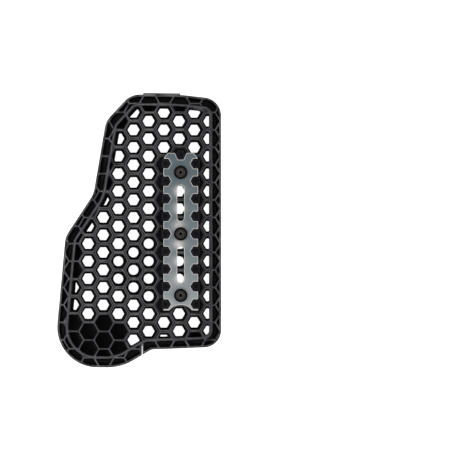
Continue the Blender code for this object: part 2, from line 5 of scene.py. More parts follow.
import bmesh
import bpy
import numpy as np
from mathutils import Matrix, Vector
from mathutils.geometry import delaunay_2d_cdt


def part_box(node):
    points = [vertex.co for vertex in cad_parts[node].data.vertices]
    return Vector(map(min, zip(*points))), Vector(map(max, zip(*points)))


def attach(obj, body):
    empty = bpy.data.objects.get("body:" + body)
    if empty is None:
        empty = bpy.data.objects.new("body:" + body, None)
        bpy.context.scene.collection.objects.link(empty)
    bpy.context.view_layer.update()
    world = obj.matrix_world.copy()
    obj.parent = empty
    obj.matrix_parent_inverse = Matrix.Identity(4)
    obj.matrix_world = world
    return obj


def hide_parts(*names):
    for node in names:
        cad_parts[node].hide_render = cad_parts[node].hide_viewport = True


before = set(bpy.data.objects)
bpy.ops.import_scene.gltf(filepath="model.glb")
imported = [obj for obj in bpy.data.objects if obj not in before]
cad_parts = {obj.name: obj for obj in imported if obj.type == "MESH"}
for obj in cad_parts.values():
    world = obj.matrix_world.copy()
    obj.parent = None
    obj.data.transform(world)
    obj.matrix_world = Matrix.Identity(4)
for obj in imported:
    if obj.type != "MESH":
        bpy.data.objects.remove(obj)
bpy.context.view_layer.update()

MM = 0.001

# Overall size
WIDTH = 149.9 * MM
HEIGHT = 249.5 * MM
CORE_THICKNESS = 9.5 * MM
ARCH_RISE = 6.0 * MM
FOOT_WIDTH_LEFT = 12.4 * MM
FOOT_WIDTH_RIGHT = 8.4 * MM

# Rim band between the outline and the ridge
RIM_BAND = 9.3 * MM
RIM_DROP = 4.8 * MM
CORNER_RADIUS = 16.5 * MM
EDGE_LAND = 1.7 * MM
RIDGE_WIDTH = 2.0 * MM
RIDGE_RAISE = 0.6 * MM
TAB_WIDTH = 33.8 * MM
TAB_REACH = 1.5 * MM
SLIT_WIDTH = 0.8 * MM
SLIT_DEPTH = 8.6 * MM
SLIT_WALL = 0.9 * MM

# Honeycomb
CELL_PITCH = 16.0 * MM
LATTICE_X = -4.35 * MM
LATTICE_Y = -4.4 * MM
OPEN_RIB = 2.3 * MM
CLOSED_RIB = 1.1 * MM
FUNNEL_WIDTH = 2.15 * MM
FUNNEL_DEPTH = 5.0 * MM
RIDGE_WALL = 2.2 * MM
RIDGE_WALL_SWING = 1.2 * MM
RIDGE_WALL_SIDE = (0.92, -0.38)
ROUND_HOLE = 9.0 * MM
POCKET_DEPTH = 4.6 * MM
POCKET_DRAFT = 0.9 * MM
POCKET_DISH = 0.5 * MM
BAND_POCKET_DEPTH = 2.6 * MM
DRAW_LEAN = math.tan(math.radians(9.8))

# Seat under the plate and the posts beside it
SEAT_RAISE = 2.6 * MM
SEAT_RAMP = 7.0 * MM
POST_FLATS = 7.8 * MM
POST_BACK = 3.4 * MM
POST_GROOVE = 0.8 * MM
TOUCH_GAP = 0.3 * MM

# Plate
PLATE_THICKNESS = 2.2 * MM
PLATE_EDGE = 1.9 * MM
PLATE_CORNER = 4.0 * MM
PLATE_CORNER_FILLET = 2.8 * MM
PLATE_TOP = 1.7 * MM
PLATE_LEG = 1.2 * MM
PLATE_ARC = 13.0 * MM
PLATE_ARC_DROP = 0.6 * MM
NOTCH_CLEARANCE = 0.55 * MM
PLATE_RISE = 1.0 * MM
SLOT_WIDTH = 6.4 * MM
SLOT_LENGTH = 32.6 * MM

# Screws
SCREW_SHANK = 5.0 * MM
SCREW_LENGTH = 12.0 * MM
SCREW_TIP = 0.6 * MM
SCREW_HEAD_HEIGHT = 3.0 * MM
SCREW_SOCKET = 3.2 * MM
SCREW_SOCKET_DEPTH = 1.7 * MM
SCREW_EASE = 0.4 * MM
BORE_CLEARANCE = 0.35 * MM
BORE_RESERVE = 0.5 * MM
PILLAR_WALL = 3.4 * MM

# Fineness of curves, and what is too small to cut
ARC_STEP = math.radians(5.0)
LEAST_TURN = math.radians(2.0)
STRAIGHT_TURN = math.radians(3.0)
EDGE_STEP = 7.0 * MM
SMALL_EDGE = 0.6 * MM
TINY_EDGE = SMALL_EDGE / 4.0
SMALL_AREA = 9.0 * MM * MM
LEAST_OPENING = 3.0 * MM * MM
PARALLEL = math.sin(math.radians(0.5))
BORE_SIDES = 12
WELD = 0.001 * MM
CUT_PRECISION = 0.0001 * MM
SLOT_END_FLAT = 0.02 * MM

# Corners of the outline, clockwise from the top left: place as shares of the overall width and
# height, fillet as a share of CORNER_RADIUS, and the band beside the edge that follows as a share
# of RIM_BAND.
Corner = namedtuple("Corner", "name across up fillet band")
OUTLINE = (
    Corner("top_left", 0.449, 1.000, 1.15, 0.98),
    Corner("top_middle", 0.763, 0.998, 2.20, 1.00),
    Corner("top_right", 0.999, 0.983, 1.00, 0.97),
    Corner("low_right", 1.000, 0.075, 0.96, 0.93),
    Corner("step", 0.575, 0.066, 0.45, 1.10),
    Corner("lobe", 0.392, 0.000, 2.80, 0.98),
    Corner("low_left", -0.025, 0.000, 2.22, 0.97),
    Corner("hip", 0.049, 0.479, 1.20, 0.98),
    Corner("waist", 0.221, 0.635, 1.45, 1.02),
    Corner("shoulder", 0.297, 0.902, 1.20, 0.99),
)
TAB_EDGE = "top_left"
TAB_PLACE = 0.40
SLIT_EDGE = "step"
SLIT_PLACE = 0.69

# Where each foot's inner edge starts and ends up the body, as shares of the height
FOOT_SPAN_LEFT = (-0.41, -0.06)
FOOT_SPAN_RIGHT = (-0.375, 0.41)

# Where an inner corner of the rim would lose its fillet, it keeps this share of it
LEAST_FILLET = 0.3
# Shares of the draft tried in turn on a narrow pocket
DRAFT_SHARES = (1.0, 0.4)

# Cells of the field, one string for each column from left to right and one letter for each row
# from the top down: o open, r open with a round hole, c closed, b post beside the plate,
# s screw pillar.
CHART = {
    "A": "........ccoocc.",
    "B": ".......oooooocc",
    "C": "....coooooooccc",
    "D": ".cooooooorroocc",
    "E": "oooooooorrrooo.",
    "F": "cooooooorrrroo.",
    "G": "ooobbbbbbbbboo.",
    "H": "coobsoooorrsoo.",
    "I": "ooobbbbbbbbboc.",
    "J": "cooooooooooooo.",
}
MIDDLE_COLUMN = "E"
MIDDLE_ROW = 7
SPARE_COLUMNS = 2
PLATE_COLUMN = "H"
SCREWS = {"plate_screw_top": 4.0, "plate_screw_middle": 7.5, "plate_screw_bottom": 11.0}
POST_ROW_TOP = 3
POST_ROW_LOW = 11

# Worked out from the sizes above
COLUMN_PITCH = CELL_PITCH * math.sqrt(3.0) / 2.0
BODY_CENTRE_Y = -TAB_REACH / 2.0
FOOT_LEFT = FOOT_WIDTH_LEFT - WIDTH / 2.0
FOOT_RIGHT = WIDTH / 2.0 - FOOT_WIDTH_RIGHT
BORE_RADIUS = SCREW_SHANK / 2.0 + BORE_CLEARANCE
PILLAR_RADIUS = BORE_RADIUS + PILLAR_WALL
FLAT_TO_CORNER = 1.0 / math.cos(math.radians(30.0))

# Rounding of the moulded edges: how far in and how far down each step of a quarter round lies, as
# shares of its radius
ROUND_STEPS = ((0.0, 0.0), (0.31, 0.05), (0.59, 0.19), (0.81, 0.41), (0.96, 0.71))
RIB_ROUND = 0.75 * MM
CLOSED_ROUND = 0.42 * MM

# Width of the line of painted highlight round an open cell, a closed one and beside the ridge; how near the
# ridge a corner counts as on it, how far a line stays off its crest, the shares of a line's width tried in
# turn, and the longest reach at a corner as a multiple of that width
RIB_LINE = 0.85 * MM
CLOSED_LINE = 0.5 * MM
RIDGE_LINE = 0.05 * MM
RIDGE_NEAR = 0.1 * MM
RIDGE_CLEAR = 0.8 * MM
LINE_SHARES = (1.0, 0.5, 0.2)
LINE_MITRE = 2.2

# Radii of the other rounded edges and corners, and the share of an edge that one corner may take
EDGE_ROUND = 0.7 * MM
MOUTH_FILLET = 1.3 * MM
THROAT_FILLET = 0.9 * MM
POCKET_FILLET = 1.0 * MM
FLOOR_FILLET = 1.4 * MM
FILLET_STEPS = 3
FILLET_SHARE = 0.42
SHARP_TURN = math.radians(24.0)
ROUND_HOLE_STEP = 1.3 * MM
BACK_ROUND = 0.4 * MM

# Lip of an open cell: share of the way in, and height above the funnel's foot
LIP_SECTION = ((0.95, 0.45 * MM), (1.0, -0.3 * MM))

# Section of the ridge: distance from its crest, height as a share of RIDGE_RAISE, and painted highlight
RIDGE_SECTION = (
    (-0.72, 0.15, 0.4), (-0.4, 0.66, 0.7), (0.0, 1.0, 0.85), (0.4, 0.66, 0.7), (0.72, 0.15, 0.4),
)

# Section of a dished floor: share of the way to the middle, and share of the dish's depth
DISH_SECTION = ((0.25, 0.42), (0.55, 0.8), (0.8, 0.96))

# Wall of a pocket below its rounded mouth: share of the way in, and share of the pocket's depth
WALL_SECTION = ((0.9, 0.8), (1.0, 0.93))

# A cell beside the plate: from the land to the bottom of its groove, share of the way in and share
# of the groove's depth; then the rounding of the post, and the painted highlight of every ring
GROOVE_SECTION = ((0.0, 0.0), (0.2, 0.125), (0.5, 0.55), (1.0, 1.0))
POST_HIGHLIGHTS = [0.24, 0.8, 0.2, 0.0, 0.0, 0.0, 0.1, 0.2, 0.1]
POST_FILLET = 0.7 * MM
POST_ROUND = 0.35 * MM

# Edge of the plate: width and depth of its bevel, then the section of that from the top face down:
# share of the way out, depth, and painted highlight; last the painted highlights of its two rings below
PLATE_BEVEL = 0.55 * MM
PLATE_BEVEL_DROP = 0.45 * MM
PLATE_FILLET = 0.45 * MM
PLATE_SECTION = (
    (0.0, 0.0, 0.0), (0.12, 0.02 * MM, 0.6),
    (0.85, 0.8 * PLATE_BEVEL_DROP, 1.0), (1.0, 1.3 * PLATE_BEVEL_DROP, 1.0),
)
PLATE_LOWER_HIGHLIGHTS = [0.7, 0.4]

# Turn between two faces above which their edge stays sharp
SHELL_CREASE = math.radians(26.0)
PLATE_CREASE = math.radians(24.0)
SCREW_CREASE = math.radians(28.0)

# Screw head: the drilled point under its socket, the socket from there up as a share of its hexagon,
# height and painted highlight, then from its rim outwards radius and height in mm above the flange's
# underside
SCREW_TURNS = 48
DRILL_TIP = 0.02 * MM
DRILL_DEPTH = 0.75 * MM
DRILL_RADIUS = 0.48 * SCREW_SOCKET
SOCKET_FLOOR = SCREW_HEAD_HEIGHT - SCREW_SOCKET_DEPTH
SOCKET_SECTION = (
    (0.98, SOCKET_FLOOR + 0.05 * MM, 0.3),
    (1.0, SCREW_HEAD_HEIGHT - 0.62 * MM, 0.1),
    (1.06, SCREW_HEAD_HEIGHT - 0.5 * MM, 1.0),
)
HEAD_SECTION = (
    (2.45, 2.98), (2.75, 3.0), (3.05, 2.96), (3.45, 2.8), (3.8, 2.5), (4.05, 2.1), (4.16, 1.7),
    (4.2, 1.35), (4.32, 1.14), (4.55, 1.06), (5.5, 1.0), (5.8, 0.95), (6.0, 0.8), (6.1, 0.6),
    (6.1, 0.2), (6.02, 0.04), (5.9, 0.0),
)

# Radius in mm out to which the head gets a painted highlight, as its dome does and its flange doesn't, and
# the painted highlights
DOME_RADIUS = 4.4
DOME_HIGHLIGHT = 0.3
SHANK_HIGHLIGHT = 0.2


def column_number(letter):
    return ord(letter) - ord("A")


def lattice_point(column, row):
    """Centre of a cell on the front land; every second column stands half a pitch higher."""
    steps = column - column_number(MIDDLE_COLUMN)
    rows = MIDDLE_ROW - row + 0.5 * (steps % 2)
    return Vector((LATTICE_X + steps * COLUMN_PITCH, LATTICE_Y + rows * CELL_PITCH))


def turned(vector):
    """The vector turned a quarter turn to the left."""
    return Vector((-vector.y, vector.x))


def crossing(start, along, other_start, other_along):
    """Where two straight lines meet."""
    share = other_along.cross(start - other_start) / along.cross(other_along)
    return start + along * share


def area(loop):
    return 0.5 * sum(loop[i - 1].cross(point) for i, point in enumerate(loop))


def circle(centre, radius, sides):
    steps = [2.0 * math.pi * i / sides for i in range(sides)]
    return [centre + Vector((radius * math.cos(a), radius * math.sin(a))) for a in steps]


def hexagon(centre, inradius):
    return circle(centre, inradius * FLAT_TO_CORNER, 6)


def filleted(corners, radii):
    """A counter-clockwise loop with an arc in place of each sharp corner that has a radius."""
    loop = []
    for i, corner in enumerate(corners):
        before = (corner - corners[i - 1]).normalized()
        after = (corners[(i + 1) % len(corners)] - corner).normalized()
        turn = math.atan2(before.cross(after), before.dot(after))
        if radii[i] <= 0.0 or abs(turn) < LEAST_TURN:
            loop.append(corner)
            continue
        reach = radii[i] * math.tan(abs(turn) / 2.0)
        side = 1.0 if turn > 0.0 else -1.0
        start = corner - before * reach
        centre = start + turned(before) * radii[i] * side
        spoke = start - centre
        steps = max(1, round(abs(turn) / ARC_STEP))
        for step in range(steps + 1):
            angle = turn * step / steps
            loop.append(centre + spoke * math.cos(angle) + turned(spoke) * math.sin(angle))
    return loop


def subdivided(loop, length=EDGE_STEP):
    """The loop with its edges cut into equal steps no longer than length."""
    result = []
    for i, point in enumerate(loop):
        after = loop[(i + 1) % len(loop)]
        steps = max(1, math.ceil((after - point).length / length))
        result += [point.lerp(after, step / steps) for step in range(steps)]
    return result


def inset(loop, distance):
    """Every edge of a counter-clockwise loop moved inwards.

    The distance is a number, or a function of an edge's middle and its inward normal.
    """
    edges = []
    for i, corner in enumerate(loop):
        normal = turned((corner - loop[i - 1]).normalized())
        step = distance(corner.lerp(loop[i - 1], 0.5), normal) if callable(distance) else distance
        edges.append((normal, step))
    result = []
    for i, corner in enumerate(loop):
        (before, reach), (after, next_reach) = edges[i], edges[(i + 1) % len(edges)]
        turn = before.cross(after)
        if abs(turn) > math.sin(ARC_STEP):
            shift = (turned(after) * -reach + turned(before) * next_reach) / turn
        else:
            bisector = (before + after).normalized()
            shift = bisector * (reach + next_reach) / 2.0 / bisector.dot(before)
        result.append(corner + shift)
    return result


def apart(loop):
    """The loop without points that lie on the one before."""
    return [point for i, point in enumerate(loop) if (point - loop[i - 1]).length > WELD]


def narrowed(loop, distance):
    """The edges of a cell moved inwards, where an edge that shrinks to nothing closes up.

    It has as many points as the loop. None is returned where too little is left of the cell.
    """
    lines = []
    for i, corner in enumerate(loop):
        along = (corner - loop[i - 1]).normalized()
        normal = turned(along)
        lines.append((corner + normal * distance(corner.lerp(loop[i - 1], 0.5), normal), along))
    kept = list(range(len(loop)))
    while len(kept) > 2:
        pairs = [(lines[edge], lines[after]) for edge, after in zip(kept, kept[1:] + kept[:1])]
        if any(abs(line[1].cross(after[1])) < PARALLEL for line, after in pairs):
            return None
        ends = [crossing(*line, *after) for line, after in pairs]
        lengths = [(ends[k] - ends[k - 1]).dot(lines[edge][1]) for k, edge in enumerate(kept)]
        shortest = min(lengths)
        if shortest > TINY_EDGE:
            points = [ends[sum(1 for edge in kept if edge <= i) - 1] for i in range(len(loop))]
            return points if area(points) > LEAST_OPENING else None
        del kept[lengths.index(shortest)]
    return None


def pocket_floor(loop):
    """The floor of a pocket, with less draft where a narrow one would close; None if it still would."""
    floors = (narrowed(loop, lambda middle, normal: share * POCKET_DRAFT) for share in DRAFT_SHARES)
    return next((floor for floor in floors if floor), None)


def outline_corners():
    """Sharp corners of the outline, counter-clockwise, with their fillets and bands."""
    corners = []
    for corner in reversed(OUTLINE):
        place = Vector(((corner.across - 0.5) * WIDTH, (corner.up - 0.5) * HEIGHT + BODY_CENTRE_Y))
        corners.append((corner.name, place, corner.fillet * CORNER_RADIUS, corner.band * RIM_BAND))
    return corners


def ridge_corners(corners, shift):
    """Corners and fillets of the loop that runs one band inside the outline, moved out by shift."""
    lines = []
    for i, (_, place, _, band) in enumerate(corners):
        along = (place - corners[i - 1][1]).normalized()
        lines.append((place + turned(along) * (band - shift), along))
    points = []
    radii = []
    for i, (_, place, fillet, band) in enumerate(corners):
        line, following = lines[i], lines[(i + 1) % len(lines)]
        points.append(crossing(line[0], line[1], following[0], following[1]))
        convex = line[1].cross(following[1]) > 0.0
        inner = max(fillet - band + shift, LEAST_FILLET * fillet)
        radii.append(inner if convex else fillet + band - shift)
    return points, radii


def with_step(corners, edge, place, width, reach, direction=None):
    """The corner list with a step of the given width on one edge: out if reach is positive."""
    result = []
    for i, (name, point, fillet, band) in enumerate(corners):
        result.append((name, point, fillet, band))
        following = corners[(i + 1) % len(corners)]
        if following[0] != edge:
            continue
        along = (following[1] - point).normalized()
        out = direction or -turned(along)
        middle = point.lerp(following[1], place)
        for offset, height in ((-0.5, 0.0), (-0.5, reach), (0.5, reach), (0.5, 0.0)):
            result.append((None, middle + along * width * offset + out * height, 0.0, 0.0))
    return result


def rectangle_about(middle, half_width, half_height):
    signs = ((-1, -1), (1, -1), (1, 1), (-1, 1))
    return [middle + Vector((half_width * a, half_height * b)) for a, b in signs]


def back_height(x, y=0.0):
    """The underside: an arch between two flat feet, the same at every y."""
    middle = (FOOT_LEFT + FOOT_RIGHT) / 2.0
    half = (FOOT_RIGHT - FOOT_LEFT) / 2.0
    return ARCH_RISE * max(0.0, 1.0 - ((x - middle) / half) ** 2)


def plate_column_x():
    return lattice_point(column_number(PLATE_COLUMN), 0).x


def plate_offset():
    """How far the plate and the tops of the posts beside it stand off their cells."""
    return Vector((DRAW_LEAN * (SEAT_RAISE + TOUCH_GAP + PLATE_THICKNESS), PLATE_RISE))


def plate_spot(column, row):
    """The point of the plate's pattern that belongs to a cell."""
    return lattice_point(column, row) + plate_offset()


def plate_centre_x():
    return plate_column_x() + plate_offset().x


def seat_height():
    return back_height(plate_column_x()) + CORE_THICKNESS + SEAT_RAISE


def plate_box():
    """Lowest and highest corners of the plate, seen from the front."""
    column = column_number(PLATE_COLUMN)
    flat = POST_FLATS / 2.0 + NOTCH_CLEARANCE
    half_width = COLUMN_PITCH + PLATE_EDGE
    low = plate_spot(column - 1, POST_ROW_LOW).y - flat - PLATE_LEG
    high = plate_spot(column, POST_ROW_TOP).y + PLATE_TOP
    return Vector((plate_centre_x() - half_width, low)), Vector((plate_centre_x() + half_width, high))


def boundary_loops(triangles):
    """Closed loops round a set of triangles."""
    edges = {(t[i], t[(i + 1) % 3]) for t in triangles for i in range(3)}
    following = {a: b for a, b in edges if (b, a) not in edges}
    loops = []
    while following:
        start = min(following)
        loop = [start]
        while following.get(loop[-1]) is not None:
            after = following.pop(loop[-1])
            if after == start:
                break
            loop.append(after)
        loops.append(loop)
    return loops


def tidied(loop):
    """The loop without points that nearly coincide or that lie on a straight line."""
    spread = []
    for point in loop:
        if not spread or (point - spread[-1]).length > SMALL_EDGE:
            spread.append(point)
    while len(spread) > 3 and (spread[0] - spread[-1]).length < SMALL_EDGE:
        spread.pop()
    result = []
    for i, point in enumerate(spread):
        before = point - spread[i - 1]
        after = spread[(i + 1) % len(spread)] - point
        if abs(before.cross(after)) > math.sin(STRAIGHT_TURN) * before.length * after.length:
            result.append(point)
    return result


def numbered(loops):
    """The points of all the loops in one list, and each loop as numbers of that list."""
    points = []
    faces = []
    for loop in loops:
        faces.append(list(range(len(points), len(points) + len(loop))))
        points += loop
    return points, faces


def cut_out(outer, holes, shapes):
    """Each shape's loops where it lies inside outer and outside every one of holes."""
    points, faces = numbered([outer] + holes + shapes)
    places, _, triangles, _, _, sources = delaunay_2d_cdt(points, [], faces, 0, CUT_PRECISION)
    first_shape = 1 + len(holes)
    groups = {}
    for triangle, source in zip(triangles, sources):
        if 0 not in source or any(0 < face < first_shape for face in source):
            continue
        for face in source:
            if face >= first_shape:
                groups.setdefault(face - first_shape, []).append(triangle)
    result = [[] for _ in shapes]
    for shape, group in groups.items():
        for loop in boundary_loops(group):
            loop = tidied([places[i].copy() for i in loop])
            if len(loop) > 2 and area(loop) > SMALL_AREA:
                result[shape].append(loop)
    return result


def plan_cells(plan):
    """Loops of every pocket on the front land, with the kind and the centre of its cell."""
    field = []
    band = []
    columns = list(CHART.values())
    rows = len(columns[0])
    for column in range(-SPARE_COLUMNS, len(columns) + SPARE_COLUMNS):
        for row in range(-1, rows + 1):
            centre = lattice_point(column, row)
            charted = 0 <= column < len(columns) and 0 <= row < rows
            kind = columns[column][row].replace(".", "c") if charted else "c"
            rib = OPEN_RIB if kind in "or" else CLOSED_RIB
            band.append(("band", centre, hexagon(centre, (CELL_PITCH - CLOSED_RIB) / 2.0)))
            if kind != "s":
                field.append((kind, centre, hexagon(centre, (CELL_PITCH - rib) / 2.0)))
    pillars = [circle(place, PILLAR_RADIUS, BORE_SIDES) for place in plan.screws.values()]
    posts = [cell for cell in field if cell[0] == "b"]
    others = [cell for cell in field if cell[0] != "b"]
    cells = []
    for outer, holes, group in (
        (plan.ridge_inner, [], posts),
        (plan.ridge_inner, pillars, others),
        (plan.band_limit, [plan.ridge_outer, plan.slit_guard], band),
    ):
        for (kind, centre, _), loops in zip(group, cut_out(outer, holes, [cell[2] for cell in group])):
            cells += [(kind, centre, loop) for loop in loops]
    return cells


def raised(loop, height):
    """The loop's points at a height, which may be a number or a function of x and y."""
    if callable(height):
        return [Vector((p.x, p.y, height(p.x, p.y))) for p in loop]
    return [Vector((p.x, p.y, height)) for p in loop]


def above(height, rise):
    """A height function raised by rise, which may be negative."""
    return lambda x, y: height(x, y) + rise


def moved(loop, x):
    return [Vector((p.x + x, p.y)) for p in loop]


def post_loop(centre, side):
    """Top of a post: a hexagon; side is 1 or -1 where the side away from the plate is squared off."""
    loop = hexagon(centre, POST_FLATS / 2.0)
    for point in loop:
        if (point.x - centre.x) * side > WELD:
            point.x = centre.x + side * POST_BACK
    return loop


def screw_seat(seat):
    """Height of the underside of the screw heads."""
    return seat + TOUCH_GAP + PLATE_THICKNESS + TOUCH_GAP


def plate_loops():
    """The plate's outline and its holes about its centre line, in world coordinates."""
    column = column_number(PLATE_COLUMN)
    low, high = plate_box()
    axis = plate_centre_x()
    flat = POST_FLATS / 2.0 + NOTCH_CLEARANCE
    radius = flat * FLAT_TO_CORNER
    half_width = high.x - axis
    right = []
    for row in range(POST_ROW_LOW, POST_ROW_TOP - 1, -1):
        y = plate_spot(column + 1, row).y
        x = COLUMN_PITCH
        right += [
            (half_width, y - flat),
            (x - radius / 2.0, y - flat),
            (x - radius, y),
            (x - radius / 2.0, y + flat),
            (half_width, y + flat),
        ]
    right += [(half_width - PLATE_CORNER, high.y)]
    notch_y = plate_spot(column, POST_ROW_TOP).y - flat
    right += [(radius + TOUCH_GAP, high.y), (radius / 2.0, notch_y)]
    arc_y = plate_spot(column + 1, POST_ROW_LOW).y - PLATE_ARC_DROP - PLATE_ARC
    start = math.asin((low.y - arc_y) / PLATE_ARC)
    steps = math.ceil((math.pi / 2.0 - start) / ARC_STEP)
    angles = [math.pi / 2.0 + (start - math.pi / 2.0) * i / steps for i in range(steps + 1)]
    arc = [(PLATE_ARC * math.cos(a), arc_y + PLATE_ARC * math.sin(a)) for a in angles]
    half = arc[1:] + [(half_width, low.y)] + right
    mirrored = [(-x, y) for x, y in reversed(half)]
    places = arc[:1] + half + mirrored
    corner_x = half_width - PLATE_CORNER
    radii = [PLATE_CORNER_FILLET if abs(abs(x) - corner_x) < WELD else 0.0 for x, _ in places]
    outline = filleted([Vector((axis + x, y)) for x, y in places], radii)
    rows = sorted(SCREWS.values())
    spots = [plate_spot(column, row) for row in rows]
    holes = [circle(spot, BORE_RADIUS, BORE_SIDES) for spot in spots]
    for above, below in zip(spots, spots[1:]):
        slot = rectangle_about(above.lerp(below, 0.5), SLOT_WIDTH / 2.0, SLOT_LENGTH / 2.0)
        holes.append(filleted(slot, [(SLOT_WIDTH - SLOT_END_FLAT) / 2.0] * len(slot)))
    return outline, holes


def hexagon_ring(flats, sides):
    """Points round a hexagon at equal turns."""
    points = []
    for i in range(sides):
        angle = 2.0 * math.pi * i / sides
        from_flat = (angle % math.radians(60.0)) - math.radians(30.0)
        reach = flats / 2.0 / math.cos(from_flat)
        points.append(Vector((reach * math.cos(angle), reach * math.sin(angle))))
    return points


class Fence:
    """A closed loop that tells whether a point is inside it and how far away it is."""

    def __init__(self, loop):
        self.ends = np.array([(p.x, p.y) for p in loop])
        self.starts = np.roll(self.ends, 1, axis=0)
        self.edges = self.ends - self.starts
        self.squares = (self.edges ** 2).sum(axis=1)

    def measure(self, x, y):
        away = np.array((x, y)) - self.starts
        share = np.clip((away * self.edges).sum(axis=1) / self.squares, 0.0, 1.0)
        gaps = away - self.edges * share[:, None]
        crossed = (self.starts[:, 1] > y) != (self.ends[:, 1] > y)
        climb = (y - self.starts[crossed, 1]) / self.edges[crossed, 1]
        ahead = x < self.starts[crossed, 0] + climb * self.edges[crossed, 0]
        return bool(ahead.sum() % 2), float(np.sqrt((gaps ** 2).sum(axis=1).min()))


class Plan:
    """Every loop of the shell, seen from the front."""

    def __init__(self):
        corners = outline_corners()
        plain = filleted([c[1] for c in corners], [c[2] for c in corners])
        self.crest = subdivided(filleted(*ridge_corners(corners, 0.0)))
        self.ridge_inner = filleted(*ridge_corners(corners, -RIDGE_WIDTH / 2.0))
        self.ridge_outer = filleted(*ridge_corners(corners, RIDGE_WIDTH / 2.0))
        self.ridge_lines = []
        for distance, share, wear in RIDGE_SECTION:
            line = subdivided(filleted(*ridge_corners(corners, distance * RIDGE_WIDTH / 2.0)))
            self.ridge_lines.append((line + line[:1], share * RIDGE_RAISE, wear))
        self.band_limit = inset(subdivided(plain), EDGE_LAND)
        stepped = with_step(corners, TAB_EDGE, TAB_PLACE, TAB_WIDTH, TAB_REACH)
        down = Vector((0.0, -1.0))
        stepped = with_step(stepped, SLIT_EDGE, SLIT_PLACE, SLIT_WIDTH, -SLIT_DEPTH, down)
        slit = [c[1] for c in stepped if c[0] is None and c[1].y < 0.0]
        self.outline = subdivided(filleted([c[1] for c in stepped], [c[2] for c in stepped]))
        self.slit = sum(slit, Vector((0.0, 0.0))) / len(slit)
        self.slit_guard = rectangle_about(self.slit, SLIT_WIDTH / 2.0 + SLIT_WALL, SLIT_DEPTH)
        screw_column = column_number(PLATE_COLUMN)
        self.screws = {name: plate_spot(screw_column, row) for name, row in SCREWS.items()}
        self.inner_fence = Fence(self.ridge_inner)


class Heights:
    """Heights of the front land over the plan."""

    def __init__(self, plan):
        self.crest = Fence(plan.crest)
        self.slit = plan.slit
        self.low, self.high = plate_box()
        self.seat = seat_height()

    def bare(self, x, y):
        """The land without the seat: the arch plus the core, falling away over the rim band."""
        inside, distance = self.crest.measure(x, y)
        drop = 0.0 if inside else RIM_DROP * distance / RIM_BAND
        return back_height(x) + CORE_THICKNESS - drop

    def land(self, x, y):
        """The land with the flat seat under the plate and the ramp round it."""
        outside_x = max(self.low.x - x, x - self.high.x, 0.0)
        outside_y = max(self.low.y - y, y - self.high.y, 0.0)
        share = max(0.0, 1.0 - math.hypot(outside_x, outside_y) / SEAT_RAMP)
        bare = self.bare(x, y)
        return bare + (self.seat - bare) * share


class Skin:
    """Points and faces of one closed mesh, gathered piece by piece.

    Each point also carries a painted highlight, from 0 in a hollow to 1 on an edge that catches the light.
    """

    def __init__(self):
        self.points = []
        self.wear = []
        self.faces = []

    def add(self, points, wear=0.0):
        """Adds points; their painted highlight is one number or a list."""
        first = len(self.points)
        self.points += points
        self.wear += wear if isinstance(wear, list) else [wear] * len(points)
        return list(range(first, len(self.points)))

    def sleeve(self, loops, highlights=None):
        """Faces between each loop and the next, which have as many points."""
        rings = [self.add(loop, highlights[i] if highlights else 0.0) for i, loop in enumerate(loops)]
        for lower, upper in zip(rings, rings[1:]):
            for i in range(len(lower)):
                self.faces.append((lower[i - 1], lower[i], upper[i], upper[i - 1]))
        return rings[-1]

    def cap(self, ring):
        """A fan over a ring, about its middle."""
        centre = self.add([sum((self.points[i] for i in ring), Vector((0.0, 0.0, 0.0))) / len(ring)])[0]
        for i in range(len(ring)):
            self.faces.append((ring[i - 1], ring[i], centre))

    def sheet(self, outer, holes, height, chains=(), wear=0.0):
        """A triangulated sheet over outer with holes left open.

        Each of chains is a line of edges that it keeps, how far that line is raised, and its painted
        highlight.
        """
        points, faces = numbered([outer] + holes)
        lifts = [0.0] * len(points)
        highlights = [wear] * len(points)
        edges = []
        for chain, lift, chain_highlight in chains:
            edges += [(len(points) + i, len(points) + i + 1) for i in range(len(chain) - 1)]
            points += chain
            lifts += [lift] * len(chain)
            highlights += [chain_highlight] * len(chain)
        found = delaunay_2d_cdt(points, edges, faces, 0, CUT_PRECISION)
        places, triangles, origins, sources = found[0], found[2], found[3], found[5]
        lifted = []
        highlight_tone = []
        for spot, origin in zip(places, origins):
            lift = lifts[min(origin)] if origin else 0.0
            lifted.append(Vector((spot.x, spot.y, height(spot.x, spot.y) + lift)))
            highlight_tone.append(highlights[min(origin)] if origin else wear)
        ring = self.add(lifted, highlight_tone)
        for triangle, source in zip(triangles, sources):
            if list(source) == [0]:
                self.faces.append(tuple(ring[i] for i in triangle))

    def mesh(self, name, smooth_angle):
        """One closed mesh with its faces pointing out."""
        shape = bmesh.new()
        layer = shape.verts.layers.float.new("wear")
        points = []
        for point, wear in zip(self.points, self.wear):
            vertex = shape.verts.new(point)
            vertex[layer] = wear
            points.append(vertex)
        for face in self.faces:
            shape.faces.new([points[i] for i in face])
        bmesh.ops.remove_doubles(shape, verts=shape.verts, dist=WELD)
        loose = [vertex for vertex in shape.verts if not vertex.link_faces]
        bmesh.ops.delete(shape, geom=loose, context="VERTS")
        bmesh.ops.recalc_face_normals(shape, faces=shape.faces)
        mesh = bpy.data.meshes.new(name)
        shape.to_mesh(mesh)
        shape.free()
        mesh.shade_smooth()
        mesh.set_sharp_from_angle(angle=smooth_angle)
        return mesh


def turn_at(loop, i):
    before = loop[i] - loop[i - 1]
    after = loop[(i + 1) % len(loop)] - loop[i]
    return math.atan2(before.cross(after), before.dot(after))


def sharp_corners(loop):
    return [abs(turn_at(loop, i)) > SHARP_TURN for i in range(len(loop))]


